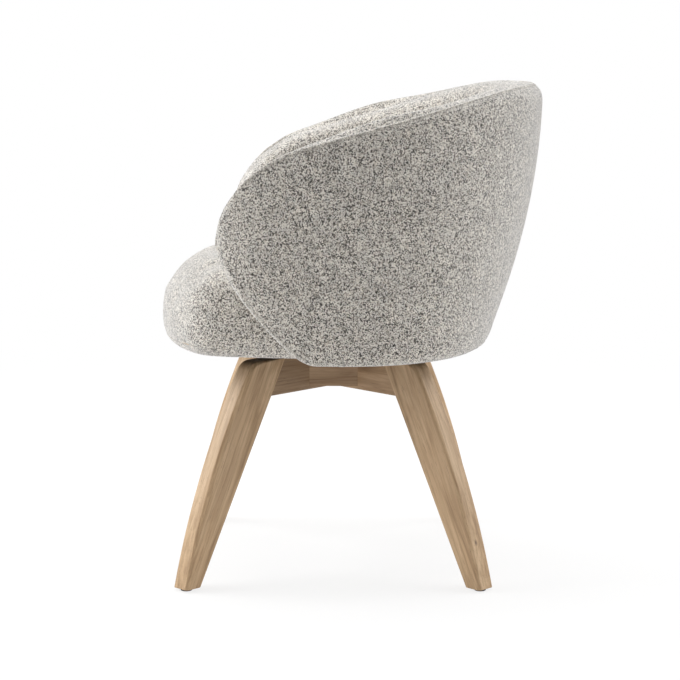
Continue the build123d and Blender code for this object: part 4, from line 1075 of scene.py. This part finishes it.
def evenly(line, directions, pitch):
    """Places, directions and headings at an even pitch along a line of points."""
    travelled = np.concatenate([[0.0], np.cumsum(np.linalg.norm(np.diff(line, axis=0), axis=1))])
    stops = np.arange(pitch, travelled[-1] - pitch, pitch)
    spots = np.column_stack([np.interp(stops, travelled, line[:, k]) for k in range(3)])
    facing = np.column_stack([np.interp(stops, travelled, directions[:, k]) for k in range(3)])
    heading = np.gradient(spots, axis=0)
    return spots, facing, heading / np.linalg.norm(heading, axis=1)[:, None]


def on_cloth(piece, spots):
    """The nearest places on a piece's cloth and the directions in which it faces there."""
    found = [piece.closest_point_on_mesh(Vector(spot)) for spot in spots]
    return np.array([place for _, place, _, _ in found]), np.array([facing for _, _, facing, _ in found])


def welt(name, line, directions, radius, lift):
    """A thin raised roll of cloth along a seam, made as a bevelled curve and turned to a mesh."""
    path = bpy.data.curves.new(name, "CURVE")
    path.dimensions = "3D"
    path.bevel_depth = radius
    path.bevel_resolution = 2
    path.use_fill_caps = True
    run = path.splines.new("POLY")
    run.points.add(len(line) - 1)
    for point, place, facing in zip(run.points, line, directions):
        behind = min(max((place[1] - NOSE_Y) / WELT_TAPER, 0.0), 1.0)
        point.co = (*(place + (lift * behind - radius * (1 - behind)) * facing), 1.0)
        along = unrolled(place)
        slow, fast = math.sin(along * WELT_WAVES[0]), math.sin(along * WELT_WAVES[1] + WELT_SHIFT)
        wander = 1 + WELT_WANDER * slow * fast
        rear = max(place[1] - BACK_CENTRE_Y, 0.0) / BACK_RADIUS
        point.radius = (WELT_TIP + (1 - WELT_TIP) * behind) * wander * (1 - WELT_REAR_LOSS * rear)
    only(placed(name, path))
    bpy.ops.object.convert(target="MESH")
    bpy.ops.object.shade_smooth()
    return bpy.context.object


def stitch_row(name, spots, facing, heading):
    """One stitch modelled from a sphere and copied along a row."""
    bpy.ops.object.select_all(action="DESELECT")
    bpy.ops.mesh.primitive_uv_sphere_add(segments=STITCH_SIDES, ring_count=STITCH_RINGS, radius=1.0)
    row = bpy.context.object
    row.name = name
    row.data.transform(Matrix.Diagonal((STITCH_LENGTH / 2, STITCH_RADIUS, STITCH_RADIUS, 1)))
    one = places(row)
    shape = [tuple(face.vertices) for face in row.data.polygons]
    side = np.cross(facing, heading)
    points = []
    faces = []
    for spot, up, ahead, across in zip(spots, facing, heading, side):
        faces += [tuple(i + len(points) for i in face) for face in shape]
        points += [spot + p[0] * ahead + p[1] * across + p[2] * up for p in one]
    copied = bpy.data.meshes.new(name)
    copied.from_pydata([tuple(p) for p in points], [], faces)
    row.data = copied
    only(row)
    bpy.ops.object.shade_smooth()
    return row


rim, rim_facing = seam_line(back, "rim_seam", unrolled)
rim_welt = welt("rim_welt", rim, rim_facing, *RIM_WELT)
lower, lower_facing = seam_line(back, "lower_seam", unrolled)
lower_welt = welt("lower_welt", lower, lower_facing, *LOWER_WELT)
# The welts wear the paler cloth, a painted highlight for the light along the seams' ridges
for seam in (rim_welt, lower_welt):
    finish_piece(seam, seam_cloth_painted_highlight, "seat_shell")
spots, facing, heading = evenly(rim, rim_facing, STITCH_PITCH)
behind_nose = spots[:, 1] > NOSE_Y + STITCH_START
spots, facing, heading = spots[behind_nose], facing[behind_nose], heading[behind_nose]
down = np.cross(facing, heading)
down *= -np.sign(down[:, 2:])
lie, facing = on_cloth(back, spots + STITCH_DROP * down / np.linalg.norm(down, axis=1)[:, None])
rim_stitches = stitch_row("rim_stitches", lie, facing, heading)
hem, hem_facing = seam_line(seat, "hem", round_seat)
hem_stitches = stitch_row("seat_hem_stitches", *evenly(hem, hem_facing, STITCH_PITCH))
thread, thread_shader = new_finish("seam_thread")
thread_place = add_node(thread, "ShaderNodeTexCoord").outputs["Object"]
fuzz = add_node(thread, "ShaderNodeTexNoise", {"Vector": thread_place}, Scale=THREAD_SCALE).outputs["Fac"]
thread_tone = ramp(thread, fuzz, [(0.3, THREAD_TONES[0]), (0.7, THREAD_TONES[1])])
link(thread, thread_tone, thread_shader, "Base Color")
set_sockets(thread_shader, Roughness=THREAD_ROUGHNESS)
for row in (rim_stitches, hem_stitches):
    finish_piece(row, thread, "seat_shell")
print("welt points:", len(rim), "stitches:", len(spots))

# %% [markdown]
# ## Dust cover
# Under the seat board a thin black cloth is stapled over the turned-in edge of the seat's cover. The
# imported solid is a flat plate, so its lower face is copied, divided into small triangles, dropped by the
# thickness of that edge, let sag a little between its staples and given the thickness of cloth.

# %% Sag the dust cover
DUST_DROP = 0.0015
DUST_SAG = 0.0022
DUST_THICKNESS = 0.0006
DUST_CUTS = 5
DUST_MERGE = 1e-6
DUST_SMOOTH = 40
FACES_DOWN = -0.9
SAG_SHARES = (0.55, 0.45)
# Radians in each metre and the shift of the ripples in the sag, along x and along y
RIPPLES = ((31.0, 0.6), (27.0, 1.1))

dust = placed("dust_cover_cloth", nodes["dust_cover"].data.copy())
only(dust)
bpy.ops.object.mode_set(mode="EDIT")
bpy.ops.mesh.select_all(action="SELECT")
bpy.ops.mesh.remove_doubles(threshold=DUST_MERGE)
bpy.ops.mesh.select_mode(type="FACE")
bpy.ops.mesh.select_all(action="DESELECT")
bpy.ops.object.mode_set(mode="OBJECT")
for face in dust.data.polygons:
    face.select = face.normal.z > FACES_DOWN
bpy.ops.object.mode_set(mode="EDIT")
bpy.ops.mesh.delete(type="FACE")
bpy.ops.mesh.select_all(action="SELECT")
bpy.ops.mesh.subdivide(number_cuts=DUST_CUTS)
bpy.ops.mesh.select_all(action="SELECT")
bpy.ops.mesh.remove_doubles(threshold=DUST_MERGE)
bpy.ops.object.mode_set(mode="OBJECT")
cloth_spots = places(dust)
ripple = np.ones(len(cloth_spots))
for axis, (waves, shift) in enumerate(RIPPLES):
    ripple *= np.sin(cloth_spots[:, axis] * waves + shift)
border = np.zeros(len(cloth_spots), bool)
use = {}
for face in dust.data.polygons:
    for pair in face.edge_keys:
        use[pair] = use.get(pair, 0) + 1
for pair, count in use.items():
    if count == 1:
        border[list(pair)] = True
cloth_spots[:, 2] -= DUST_DROP + np.where(border, 0.0, DUST_SAG * (SAG_SHARES[0] + SAG_SHARES[1] * ripple))
put(dust, cloth_spots)
only(dust)
thick = dust.modifiers.new("cloth_thickness", "SOLIDIFY")
thick.thickness = DUST_THICKNESS
thick.offset = -1
bpy.ops.object.modifier_apply(modifier=thick.name)
bpy.ops.object.shade_smooth_by_angle(angle=math.radians(DUST_SMOOTH))
dust_cloth = speckled("dust_cloth", ((0.018, 0.018, 0.019), (0.036, 0.036, 0.037)), scale=700.0,
                      roughness=(0.75, 0.9), relief=0.0003)
finish_piece(dust, dust_cloth, "seat_shell")
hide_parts("dust_cover")
